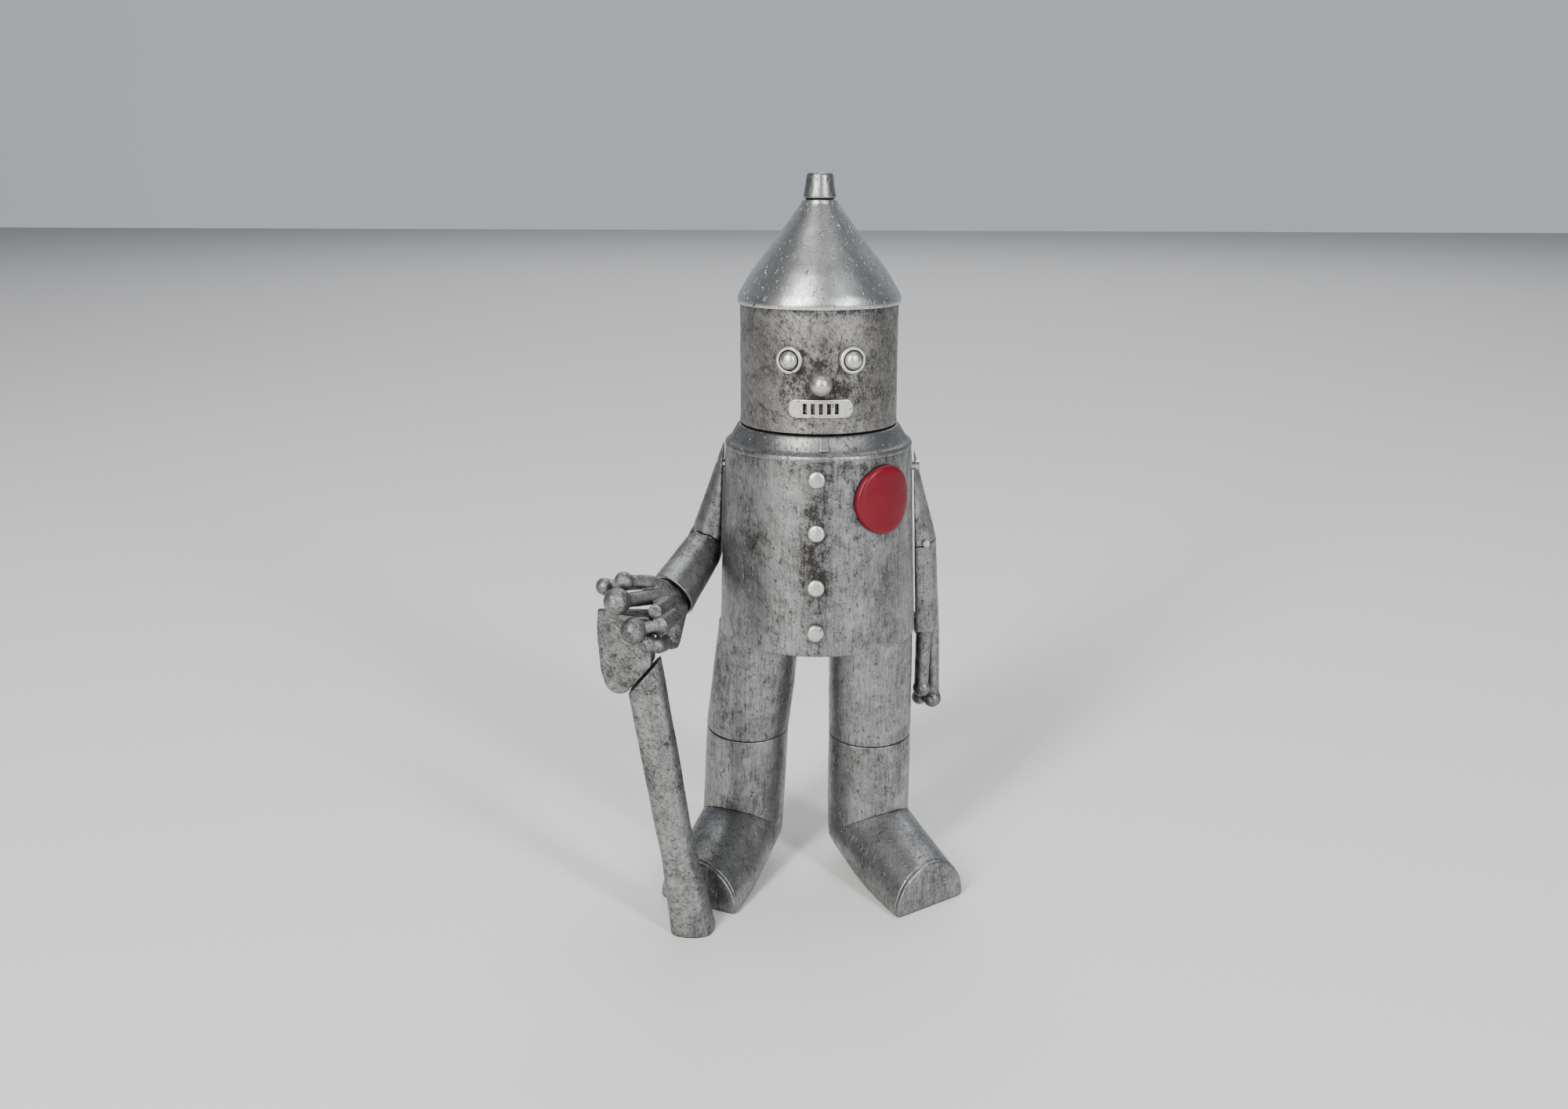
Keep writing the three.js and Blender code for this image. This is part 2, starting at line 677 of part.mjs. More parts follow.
// Centres of the train, each at its meshing distance and angle from the one before.
function trainCentres() {
  const { great, second, third, fan } = MOVEMENT;
  const step = (from, angle, distance) => ({
    x: from.x + distance * Math.cos(angle),
    z: from.z + distance * Math.sin(angle),
  });
  const secondAt = step(great, second.angle, pitchRadius(great.teeth) + pitchRadius(second.pinion));
  const thirdAt = step(secondAt, third.angle, pitchRadius(second.teeth) + pitchRadius(third.pinion));
  const fanAt = step(thirdAt, fan.angle, pitchRadius(third.teeth) + pitchRadius(fan.pinion));
  return { secondAt, thirdAt, fanAt };
}

// A pinion that meshes with a wheel lying at an angle from it has a gap facing that wheel.
const gapFacing = (angle, teeth) => angle + Math.PI + Math.PI / teeth;

function greatWheel() {
  const { great, second } = MOVEMENT;
  const startAngle = second.angle;
  const wheel = toothedWheel({ teeth: great.teeth, startAngle, frontY: -1.2, backY: 0, bore: 2.3 });
  return less(wheel, yBar(CLICK.pivot.x, CLICK.pivot.z, 1.1, -3, 1));
}

function secondWheel() {
  const { second, third } = MOVEMENT;
  const startAngle = gapFacing(second.angle, second.pinion);
  return union(
    toothedWheel({ teeth: second.teeth, startAngle: third.angle, frontY: -5.4, backY: -4.4 }),
    toothedWheel({ teeth: second.pinion, startAngle, frontY: -4.6, backY: 0.8 }),
    yBar(0, 0, 0.9, -11.9, MOVEMENT.plateY + 0.8),
  );
}

function thirdWheel() {
  const { third, fan } = MOVEMENT;
  const startAngle = gapFacing(third.angle, third.pinion);
  return union(
    toothedWheel({ teeth: third.teeth, startAngle: fan.angle, frontY: 4, backY: 5 }),
    toothedWheel({ teeth: third.pinion, startAngle, frontY: -6.4, backY: -3.4 }),
    yBar(0, 0, 0.8, -MOVEMENT.plateY - 0.8, MOVEMENT.plateY + 0.8),
  );
}

function fanPinion() {
  const { fan } = MOVEMENT;
  const startAngle = gapFacing(fan.angle, fan.pinion);
  return union(
    toothedWheel({ teeth: fan.pinion, startAngle, frontY: 3, backY: 6 }),
    yBar(0, 0, 0.7, -MOVEMENT.plateY - 0.8, MOVEMENT.plateY + 0.8),
  );
}

// Two flat air vanes on a sleeve.
function fanVanes() {
  const sleeve = yBar(0, 0, 1.6, -7, 1.4).subtract(yBar(0, 0, 1, -8, 2));
  const right = block(V(-4.6, -7, -0.3), V(-1.4, 1.4, 0.3));
  const left = block(V(1.4, -7, -0.3), V(4.6, 1.4, 0.3));
  return union(sleeve, left, right);
}


// Saw teeth on the winding arbor, centred on the arbor.
function ratchetWheel() {
  const shape = new THREE.Shape();
  for (let i = 0; i < RATCHET.teeth; i++) {
    const start = ((i + 0.85) * 2 * Math.PI) / RATCHET.teeth;
    const end = ((i + 1.75) * 2 * Math.PI) / RATCHET.teeth;
    if (i === 0) shape.moveTo(RATCHET.root * Math.cos(start), RATCHET.root * Math.sin(start));
    else shape.lineTo(RATCHET.root * Math.cos(start), RATCHET.root * Math.sin(start));
    shape.lineTo(RATCHET.tip * Math.cos(end), RATCHET.tip * Math.sin(end));
  }
  return slab(shape, RATCHET.frontY, RATCHET.backY).subtract(yBar(0, 0, 2.2, -5, 5));
}

// The click: a short pawl with its pivot pin in the great wheel.
function click() {
  const { pivot, tip } = CLICK;
  const along = new THREE.Vector2(tip.x - pivot.x, tip.z - pivot.z).normalize();
  const across = new THREE.Vector2(-along.y, along.x);
  const corner = (x, z, side, forward = 0) => [
    x + across.x * side + along.x * forward,
    z + across.y * side + along.y * forward,
  ];
  const outline = [
    corner(pivot.x, pivot.z, -1.3, -0.8),
    corner(pivot.x, pivot.z, 1.3, -0.8),
    corner(tip.x, tip.z, 0.3, -0.6),
    corner(tip.x, tip.z, -0.3, -0.6),
  ];
  outline.reverse();
  return slab(outline, RATCHET.frontY, RATCHET.backY).add(yBar(pivot.x, pivot.z, 0.8, -1.9, -0.1, 12));
}

// The mainspring: a flat ribbon wound in a spiral, as a strip between two spirals.
function mainspring() {
  const [turns, innerR, outerR, ribbon, steps] = [4.5, 3.2, 12.2, 0.5, 18];
  const count = turns * steps;
  const point = (i, offset) => {
    const angle = (2 * Math.PI * i) / steps;
    const r = innerR + ((outerR - innerR) * i) / count + offset;
    return [r * Math.cos(angle), r * Math.sin(angle)];
  };
  const outline = [];
  for (let i = 0; i <= count; i++) outline.push(point(i, ribbon / 2));
  for (let i = count; i >= 0; i--) outline.push(point(i, -ribbon / 2));
  return slab(outline, 1.6, 7);
}

function windingArbor() {
  return yBar(0, 0, 1.9, -MOVEMENT.plateY - 1.6, 43.5);
}

// The winding key: a sleeve with two flat round ears.
function windingKey() {
  const sleeve = yBar(0, 0, 3.3, 34, 42.5, 16);
  const ears = [-1, 1].map((side) => ({ x: side * 7.4, y: 43.2 }));
  const earDisc = ({ x, y }, radius, half) => bar(V(x, y, -half), V(x, y, half), radius, 20);
  const web = block(V(-7, 39.4, -0.9), V(7, 46.4, 0.9));
  const shape = union(sleeve, web, ...ears.map((ear) => earDisc(ear, 6.2, 0.9)));
  return less(shape, yBar(0, 0, 2.2, 30, 44.4), ...ears.map((ear) => earDisc(ear, 2.8, 2)));
}

function plate(side) {
  const { plateY, plateThickness, plateHalfWidth, plateBottomZ, plateTopZ, pillars } = MOVEMENT;
  const outline = roundedRectangle(plateHalfWidth, plateBottomZ, plateTopZ, 3);
  const [frontY, backY] = side < 0 ? [-plateY - plateThickness, -plateY] : [plateY, plateY + plateThickness];
  const { secondAt, thirdAt, fanAt } = trainCentres();
  const hole = (centre, radius) => yBar(centre.x, centre.z, radius, -20, 20);
  const holes = [
    hole(MOVEMENT.great, 1.9 + GAP),
    hole(secondAt, 0.9 + GAP),
    hole(thirdAt, 0.8 + GAP),
    hole(fanAt, 0.7 + GAP),
    ...pillars.map((pillar) => hole(pillar, 0.9 + GAP)),
  ];
  if (side > 0) holes.push(...[-1, 1].map((s) => yBar(s * SCREW.x, SCREW.z, SCREW.radius + GAP, 0, 20)));
  return less(slab(outline, frontY, backY), ...holes);
}

// A pillar between the plates, with a thin stub through each.
function pillar({ x, z }) {
  const { plateY, plateThickness } = MOVEMENT;
  const shoulder = plateY - GAP;
  const end = plateY + plateThickness + 0.6;
  return union(yBar(x, z, 1.7, -shoulder, shoulder, 16), yBar(x, z, 0.9, -end, end, 16));
}


// A long screw from the back of the casing into the back plate.
function caseScrew(side) {
  const headY = 28.7;
  const shank = yBar(side * SCREW.x, SCREW.z, SCREW.radius, 8.6, headY + 0.5, 16);
  const head = yBar(side * SCREW.x, SCREW.z, 2.6, headY, headY + 1.6, 24);
  const slot = block(
    V(side * SCREW.x - 3, headY + 0.9, SCREW.z - 0.35),
    V(side * SCREW.x + 3, headY + 2, SCREW.z + 0.35),
  );
  return union(shank, head).subtract(slot);
}

// A disc on the front end of the second arbor, with an offset pin that faces the head's lever.
function crankDisc() {
  const disc = yBar(0, 0, CRANK.discR, -11.6, -10.6, 28).subtract(yBar(0, 0, 0.9 + GAP, -13, -9));
  return disc.add(yBar(0, -CRANK.radius, CRANK.pinR, -12.6, -11.4, 12));
}

function neckShaft() {
  const collarZ = HEAD.bottomZ + 1.8 + GAP;
  return turned(
    [
      [0, 139.2],
      [1.6, 139.2],
      [1.6, collarZ],
      [3, collarZ],
      [3, collarZ + 1.5],
      [1.6, collarZ + 1.5],
      [1.6, collarZ + 3],
      [0, collarZ + 3],
    ],
    12,
  );
}

// A bent lever on the neck shaft: it reaches forward over the movement and hangs down as a fork.
function turnLever() {
  const top = 140.8;
  const hub = turned(ringProfile(1.9, 4, top - 1.2, top), 24);
  const arm = block(V(-2.4, -15.2, top - 1.2), V(2.4, -2.6, top));
  const leg = block(V(-3.4, -15.2, 116.5), V(3.4, -14.2, top));
  const slot = block(V(-1.1, -20, 115), V(1.1, -10, 131));
  return union(hub, arm, leg.subtract(slot));
}

const neckBush = () =>
  turned(
    [
      [1.9, 152.6],
      [3.3, 152.6],
      [3.3, COLLAR.flatZ + GAP],
      [5.4, COLLAR.flatZ + GAP],
      [5.4, HEAD.bottomZ + 0.4],
      [1.9, HEAD.bottomZ + 0.4],
      [1.9, 152.6],
    ],
    20,
  );

const keyBush = () =>
  turnedAlong(
    V(0, 0, BODY.keyZ),
    V(0, 1, 0),
    [
      [2.2, 29],
      [3.2, 29],
      [3.2, 31.1],
      [5.2, 31.1],
      [5.2, 32.6],
      [4.6, 33.2],
      [2.2, 33.2],
      [2.2, 29],
    ],
    20,
  );

// ---------------------------------------------------------------- assembly
const figure = new THREE.Group();
const casing = new THREE.Group();
const head = new THREE.Group();
const movement = new THREE.Group();
const limbs = new THREE.Group();
figure.add(casing, head, movement, limbs);
head.rotation.z = HEAD.turn;

const shells = bodyShells();
addPart(casing, "torso_front", shells.front, antiqueTin);
addPart(casing, "torso_back", shells.back, antiqueTin);
addPart(casing, "shoulder_collar", collar(), antiqueTin);
addPart(casing, "torso_base", bodyBase(), antiqueTin);
addPart(casing, "chest_badge", badge(), redEnamel);
BUTTONS.z.forEach((z, i) => {
  const button = turnedAlong(V(0, 0, 0), V(0, -1, 0), rivetProfile(BUTTONS.radius, 1.5, 1, 3), 12);
  const mesh = addPart(casing, `coat_button_${i + 1}`, button, antiqueTin);
  mesh.position.set(BUTTONS.x, -bodyRadius(z) - GAP, z);
});
addPart(casing, "key_bush", keyBush(), brass);
addPart(casing, "neck_bush", neckBush(), brass);

const eyeAngle = Math.asin(FACE.eyeX / HEAD.radius);
addPart(head, "head_shell", headShell(), antiqueTin);
addPart(head, "head_floor", headFloor(), antiqueTin);
addPart(head, "cap_cone", capCone(), antiqueTin);
addPart(head, "cap_spout", capSpout(), antiqueTin);
addPart(head, "eye_right", onHead(-eyeAngle, FACE.eyeZ, eyeProfile), antiqueTin);
addPart(head, "eye_left", onHead(eyeAngle, FACE.eyeZ, eyeProfile), antiqueTin);
addPart(head, "nose", onHead(0, FACE.noseZ, noseProfile), antiqueTin);
addPart(head, "mouth_plate", mouthPlate(), antiqueTin);
addPart(head, "neck_shaft", neckShaft(), steel);
const lever = addPart(head, "turn_lever", turnLever(), steel);
lever.rotation.z = -HEAD.turn;

for (const [side, shape] of Object.entries(LEGS)) {
  const made = leg(shape);
  addPart(limbs, `thigh_${side}`, made.thigh, antiqueTin);
  addPart(limbs, `shin_${side}`, made.shin, antiqueTin);
  addPart(limbs, `foot_${side}`, made.foot, antiqueTin);
  addPart(limbs, `toe_cap_${side}`, made.toeCap, antiqueTin);
}
for (const [side, shape] of Object.entries(ARMS)) {
  const { upper, fore } = armTubes(shape);
  addPart(limbs, `upper_arm_${side}`, upper, antiqueTin);
  addPart(limbs, `forearm_${side}`, fore, antiqueTin);
  addPart(limbs, `shoulder_axle_${side}`, shoulderAxle(shape.side), steel);
  addPart(limbs, `elbow_pin_${side}`, elbowPin(shape), antiqueTin);
}
addPart(limbs, "hand_right", rightHand(), antiqueTin);
addPart(limbs, "hand_left", leftHand(), antiqueTin);
addPart(limbs, "axe_head", axeHead(), antiqueTin);
addPart(limbs, "axe_shaft", axeShaft(), antiqueTin);

const { secondAt, thirdAt, fanAt } = trainCentres();
addPart(movement, "front_plate", plate(-1), brass);
addPart(movement, "back_plate", plate(1), brass);
MOVEMENT.pillars.forEach((place, i) => addPart(movement, `plate_pillar_${i + 1}`, pillar(place), steel));
addPart(movement, "case_screw_right", caseScrew(-1), steel);
addPart(movement, "case_screw_left", caseScrew(1), steel);
addPart(movement, "crank_disc", crankDisc(), steel).position.set(secondAt.x, 0, secondAt.z);
addPart(movement, "second_wheel", secondWheel(), brass).position.set(secondAt.x, 0, secondAt.z);
addPart(movement, "third_wheel", thirdWheel(), brass).position.set(thirdAt.x, 0, thirdAt.z);
addPart(movement, "fan_pinion", fanPinion(), steel).position.set(fanAt.x, 0, fanAt.z);
addPart(movement, "fan_vanes", fanVanes(), brass).position.set(fanAt.x, 0, fanAt.z);
const barrelGroup = new THREE.Group();
barrelGroup.position.set(MOVEMENT.great.x, 0, MOVEMENT.great.z);
movement.add(barrelGroup);
addPart(barrelGroup, "great_wheel", greatWheel(), brass);
addPart(barrelGroup, "ratchet_wheel", ratchetWheel(), steel);
addPart(barrelGroup, "ratchet_click", click(), steel);
addPart(barrelGroup, "mainspring", mainspring(), blueSpring);
addPart(barrelGroup, "winding_arbor", windingArbor(), steel);
addPart(barrelGroup, "winding_key", windingKey(), antiqueTin);

// The part's origin is on the floor, under the middle of its outline.
const outline = new THREE.Box3().setFromObject(figure);
figure.position.set(-(outline.min.x + outline.max.x) / 2, -(outline.min.y + outline.max.y) / 2, 0);

export default figure;
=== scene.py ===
"""Looks of a standing wind-up tin figure with a cone cap and a short axe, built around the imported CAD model.

Lengths are in millimetres in the figure's own axes: the neck's axis is at x = 0 and y = 0, the floor is z = 0,
+Z is up and the figure faces -Y. placed() turns them into metres in the frame's axes.
"""

import json

import math

import bmesh
import bpy
import numpy as np
from mathutils import Matrix, Vector, noise


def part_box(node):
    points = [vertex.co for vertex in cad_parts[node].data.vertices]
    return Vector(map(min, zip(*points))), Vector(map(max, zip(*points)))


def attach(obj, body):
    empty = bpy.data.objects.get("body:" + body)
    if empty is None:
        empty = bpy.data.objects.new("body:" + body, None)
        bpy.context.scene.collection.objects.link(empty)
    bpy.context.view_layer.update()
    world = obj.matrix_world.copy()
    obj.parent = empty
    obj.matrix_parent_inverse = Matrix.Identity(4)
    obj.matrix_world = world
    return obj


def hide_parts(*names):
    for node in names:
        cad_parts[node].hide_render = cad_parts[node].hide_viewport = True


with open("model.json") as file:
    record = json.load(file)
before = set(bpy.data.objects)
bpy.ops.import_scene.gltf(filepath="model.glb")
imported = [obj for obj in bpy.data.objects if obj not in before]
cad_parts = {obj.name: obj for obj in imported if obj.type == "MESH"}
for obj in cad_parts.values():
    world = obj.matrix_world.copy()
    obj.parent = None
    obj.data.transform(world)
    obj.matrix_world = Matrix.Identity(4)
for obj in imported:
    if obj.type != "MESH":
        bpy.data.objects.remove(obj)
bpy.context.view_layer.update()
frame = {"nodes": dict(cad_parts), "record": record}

MM = 0.001


def node_centre(node):
    low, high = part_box(node)
    return (low + high) / 2


def node_size(node):
    low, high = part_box(node)
    return (high - low) / MM


# The neck shaft stands on the figure's own axis.
NECK = node_centre("neck_shaft")
ORIGIN = np.array([NECK.x, NECK.y, 0.0])


def low_z(node):
    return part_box(node)[0].z / MM


def high_z(node):
    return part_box(node)[1].z / MM


def placed(points):
    """Figure millimetres to frame metres."""
    return np.asarray(points, float) * MM + ORIGIN


def unit(v):
    v = np.asarray(v, float)
    return v / np.linalg.norm(v)


def vec(*v):
    return np.array(v, float)


# ---------------------------------------------------------------- dimensions (mm)
GAP = 0.3
WALL = 0.7

BODY_BOTTOM_Z = low_z("torso_front")
BODY_TOP_Z = high_z("torso_front")
BODY_BOTTOM_R = node_size("torso_front").x / 2
BODY_TOP_R = node_size("shoulder_collar").x / 2
AXLE_Z = node_centre("shoulder_axle_left").z / MM
KEY_Z = node_centre("key_bush").z / MM
BODY_TAPER = math.atan2(BODY_BOTTOM_R - BODY_TOP_R, BODY_TOP_Z - BODY_BOTTOM_Z)

HEAD_R = 24.3
HEAD_BOTTOM_Z = low_z("head_shell")
HEAD_TOP_Z = high_z("head_shell")
HEAD_TURN = math.radians(4)
CAP_BRIM_Z = low_z("cap_cone")
CAP_TOP_Z = high_z("cap_spout")
COLLAR_TOP_Z = high_z("shoulder_collar")

EYE_Z = node_centre("eye_left").z / MM
NOSE_Z = node_centre("nose").z / MM
MOUTH_Z = node_centre("mouth_plate").z / MM
MOUTH_WIDTH = node_size("mouth_plate").x
MOUTH_HEIGHT = node_size("mouth_plate").z
EYE_ANGLE = math.asin(9 / HEAD_R)

BUTTON_X = 0.8
BUTTON_R = 2.7
BADGE_ANGLE = math.radians(44)
BADGE_Z = node_centre("chest_badge").z / MM
BADGE_R = node_size("chest_badge").z / 2

LEG_R = 13.7
LEG_Y = 7.0
LEG_TOP_Z = 87.2
ANKLE_Z = 14.4
FOOT_SLOPE = math.radians(20.4)
FOOT_LENGTH = 37.1
TOE_CAP = 1.2
LEGS = {
    "left": {
        "hip": 17.4,
        "knee": vec(17.5, LEG_Y, 48.7),
        "knee_normal": vec(0, 0.077, -1),
        "ankle": 17.5,
        "splay": 34,
        "skew": 5,
    },
    "right": {
        "hip": -18.9,
        "knee": vec(-23.5, LEG_Y, 49.9),
        "knee_normal": vec(-0.042, 0.109, -1),
        "ankle": -25.4,
        "splay": -18,
        "skew": -4,
    },
}

ARMS = {
    "right": {
        "side": -1,
        "radius": 6.3,
        "cuff_radius": 7.7,
        "top": vec(-23.4, 0, 147.5),
        "elbow": vec(-35.6, 4, 114),
        "pin_x": -36.4,
        "cuff": vec(-44.2, -22, 103.5),
        "cuff_normal": vec(-0.54, -0.705, -0.46),
        "crumple": 1.7,
    },
    "left": {
        "side": 1,
        "radius": 6.0,
        "cuff_radius": 6.0,
        "top": vec(23.4, 0, 147.5),
        "elbow": vec(32, 8, 115),
        "pin_x": 34.6,
        "cuff": vec(34.2, 14.8, 82.6),
        "cuff_normal": vec(0, 0, -1),
        "crumple": 0.5,
    },
}
ARM_TOP_Z = 148.6
ARM_CLEARANCE = 0.08

AXE_FOOT = vec(-37, -41.4, 0)
AXE_EYE = vec(-52.6, -37.4, 95)
AXE_SEAT = vec(-50.5, -37.5, 83.6)
AXE_SEAT_NORMAL = unit(vec(-0.747, 0, 0.665))
AXE_FRONT_Y = -42.0
AXE_BACK_Y = -33.0
AXE_EDGE_X = -65.0
AXE_CHEEK_X = -53.0


def body_radius(z):
    share = (BODY_TOP_Z - z) / (BODY_TOP_Z - BODY_BOTTOM_Z)
    return BODY_TOP_R + share * (BODY_BOTTOM_R - BODY_TOP_R)


def around(angle, distance, z):
    """A point at a distance from the neck's axis; the angle runs from the front towards the figure's left."""
    return vec(distance * math.sin(angle), -distance * math.cos(angle), z)


# ---------------------------------------------------------------- camera, floor and lights
def make_camera():
    """Stands in front of the figure, a little to its left, and looks slightly down."""
    data = bpy.data.cameras.new("camera")
    data.sensor_width = 36
    data.lens = 36 * 1856 / 2000
    camera = bpy.data.objects.new("camera", data)
    camera.location = Vector(placed(vec(19, -450, 237)))
    camera.rotation_euler = (math.radians(90 - 15.6), 0, math.radians(3.79))
    bpy.context.scene.collection.objects.link(camera)
    bpy.context.scene.camera = camera


def make_light(name, place, target, size, power, color=(1, 1, 1)):
    data = bpy.data.lights.new(name, "AREA")
    data.shape = "RECTANGLE"
    data.size, data.size_y = size
    data.energy = power
    data.color = color
    lamp = bpy.data.objects.new(name, data)
    lamp.location = place
    lamp.rotation_euler = (Vector(target) - Vector(place)).to_track_quat("-Z", "Y").to_euler()
    bpy.context.scene.collection.objects.link(lamp)


def make_studio():
    mesh = bpy.data.meshes.new("floor")
    half = 4.0
    mesh.from_pydata(
        [(-half, -half, 0), (half, -half, 0), (half, half, 0), (-half, half, 0)], [], [(0, 1, 2, 3)]
    )
    floor = bpy.data.objects.new("floor", mesh)
    bpy.context.scene.collection.objects.link(floor)
    material = bpy.data.materials.new("pale_floor")
    material.use_nodes = True
    shader = material.node_tree.nodes["Principled BSDF"]
    shader.inputs["Base Color"].default_value = (0.72, 0.71, 0.7, 1)
    shader.inputs["Roughness"].default_value = 0.7
    mesh.materials.append(material)

    world = bpy.data.worlds.new("studio")
    world.use_nodes = True
    tree = world.node_tree
    place = tree.nodes.new("ShaderNodeTexCoord").outputs["Generated"]
    axes = tree.nodes.new("ShaderNodeSeparateXYZ")
    ramp = tree.nodes.new("ShaderNodeValToRGB")
    tree.links.new(place, axes.inputs[0])
    tree.links.new(axes.outputs["Y"], ramp.inputs["Fac"])
    low, high = ramp.color_ramp.elements
    low.position, low.color = 0.1, (0.11, 0.115, 0.125, 1)
    high.position, high.color = 0.9, (0.46, 0.49, 0.53, 1)
    tree.links.new(ramp.outputs[0], tree.nodes["Background"].inputs["Color"])
    bpy.context.scene.world = world

    chest = (0, 0, 0.13)
    make_light("key_light", (-0.62, -1.15, 0.9), chest, (0.26, 1.3), 34, (1, 0.98, 0.95))
    make_light("fill_light", (0.95, -1.0, 0.8), chest, (0.2, 1.1), 20, (0.95, 0.97, 1))
    make_light("top_light", (0.05, 0.3, 1.6), chest, (0.9, 0.6), 9)
    make_light("back_light", (0.1, 2.2, 1.9), (0, 1.7, 0), (2.4, 1.4), 30, (0.95, 0.97, 1))


# ---------------------------------------------------------------- materials
class Shader:
    """A small helper that adds nodes to a material and links them."""

    def __init__(self, name):
        self.material = bpy.data.materials.new(name)
        self.material.use_nodes = True
        self.tree = self.material.node_tree
        self.surface = self.tree.nodes["Principled BSDF"]
        self.place = self.add("ShaderNodeTexCoord").outputs["Object"]

    def add(self, kind, settings=None, **inputs):
        node = self.tree.nodes.new(kind)
        for key, value in (settings or {}).items():
            setattr(node, key, value)
        for key, value in inputs.items():
            self.set(node.inputs[key.replace("_", " ")], value)
        return node

    def set(self, socket, value):
        if isinstance(value, bpy.types.NodeSocket):
            self.tree.links.new(value, socket)
        else:
            socket.default_value = value

    def math(self, operation, a, b=0.0, c=0.0):
        node = self.add("ShaderNodeMath", {"operation": operation})
        for socket, value in zip(node.inputs, (a, b, c)):
            self.set(socket, value)
        return node.outputs[0]

    def noise(self, scale, detail=4.0, roughness=0.55, stretch=None, turn=(0, 0, 0)):
        """Noise with features of about scale millimetres, stretched by a factor for each axis and turned."""
        place = self.place
        if stretch:
            turned = self.add("ShaderNodeMapping", Vector=place, Rotation=turn)
            place = self.add("ShaderNodeMapping", Vector=turned.outputs[0], Scale=stretch).outputs[0]
        node = self.add(
            "ShaderNodeTexNoise", Vector=place, Scale=1 / (scale * MM), Detail=detail, Roughness=roughness
        )
        return node.outputs["Fac"]

    def ramp(self, value, *stops):
        """Maps a value through stops of (position, grey)."""
        node = self.add("ShaderNodeValToRGB", Fac=value)
        elements = node.color_ramp.elements
        while len(elements) < len(stops):
            elements.new(0.5)
        for element, (position, grey) in zip(elements, stops):
            element.position = position
            element.color = (grey, grey, grey, 1)
        return node.outputs[0]

    def mix(self, share, a, b):
        node = self.add("ShaderNodeMix", {"data_type": "RGBA"})
        self.set(node.inputs[0], share)
        self.set(node.inputs[6], a)
        self.set(node.inputs[7], b)
        return node.outputs[2]

    def cavity(self, distance):
        """1 in the open, falling to 0 in corners closer than a distance in millimetres; used to paint shade into
        colour.
        """
        node = self.add("ShaderNodeAmbientOcclusion", {"samples": 8}, Distance=distance * MM)
        return node.outputs["AO"]

    def patch(self, middle, size, strength):
        """A soft patch of a strength in the middle of an ellipsoid given in figure millimetres."""
        scale = 1 / (np.asarray(size, float) * MM)
        shift = -placed(middle) * scale
        place = self.add("ShaderNodeMapping", Vector=self.place, Location=tuple(shift), Scale=tuple(scale))
        length = self.add("ShaderNodeVectorMath", {"operation": "LENGTH"}, Vector=place.outputs[0])
        return self.ramp(length.outputs["Value"], (0.3, strength), (1.0, 0.0))

    def bump(self, height, depth, strength=1.0, under=None):
        """Relief of a depth in millimetres from a height of 0 to 1."""
        node = self.add("ShaderNodeBump", Height=height, Distance=depth * MM, Strength=strength)
        if under is not None:
            self.set(node.inputs["Normal"], under)
        return node.outputs[0]


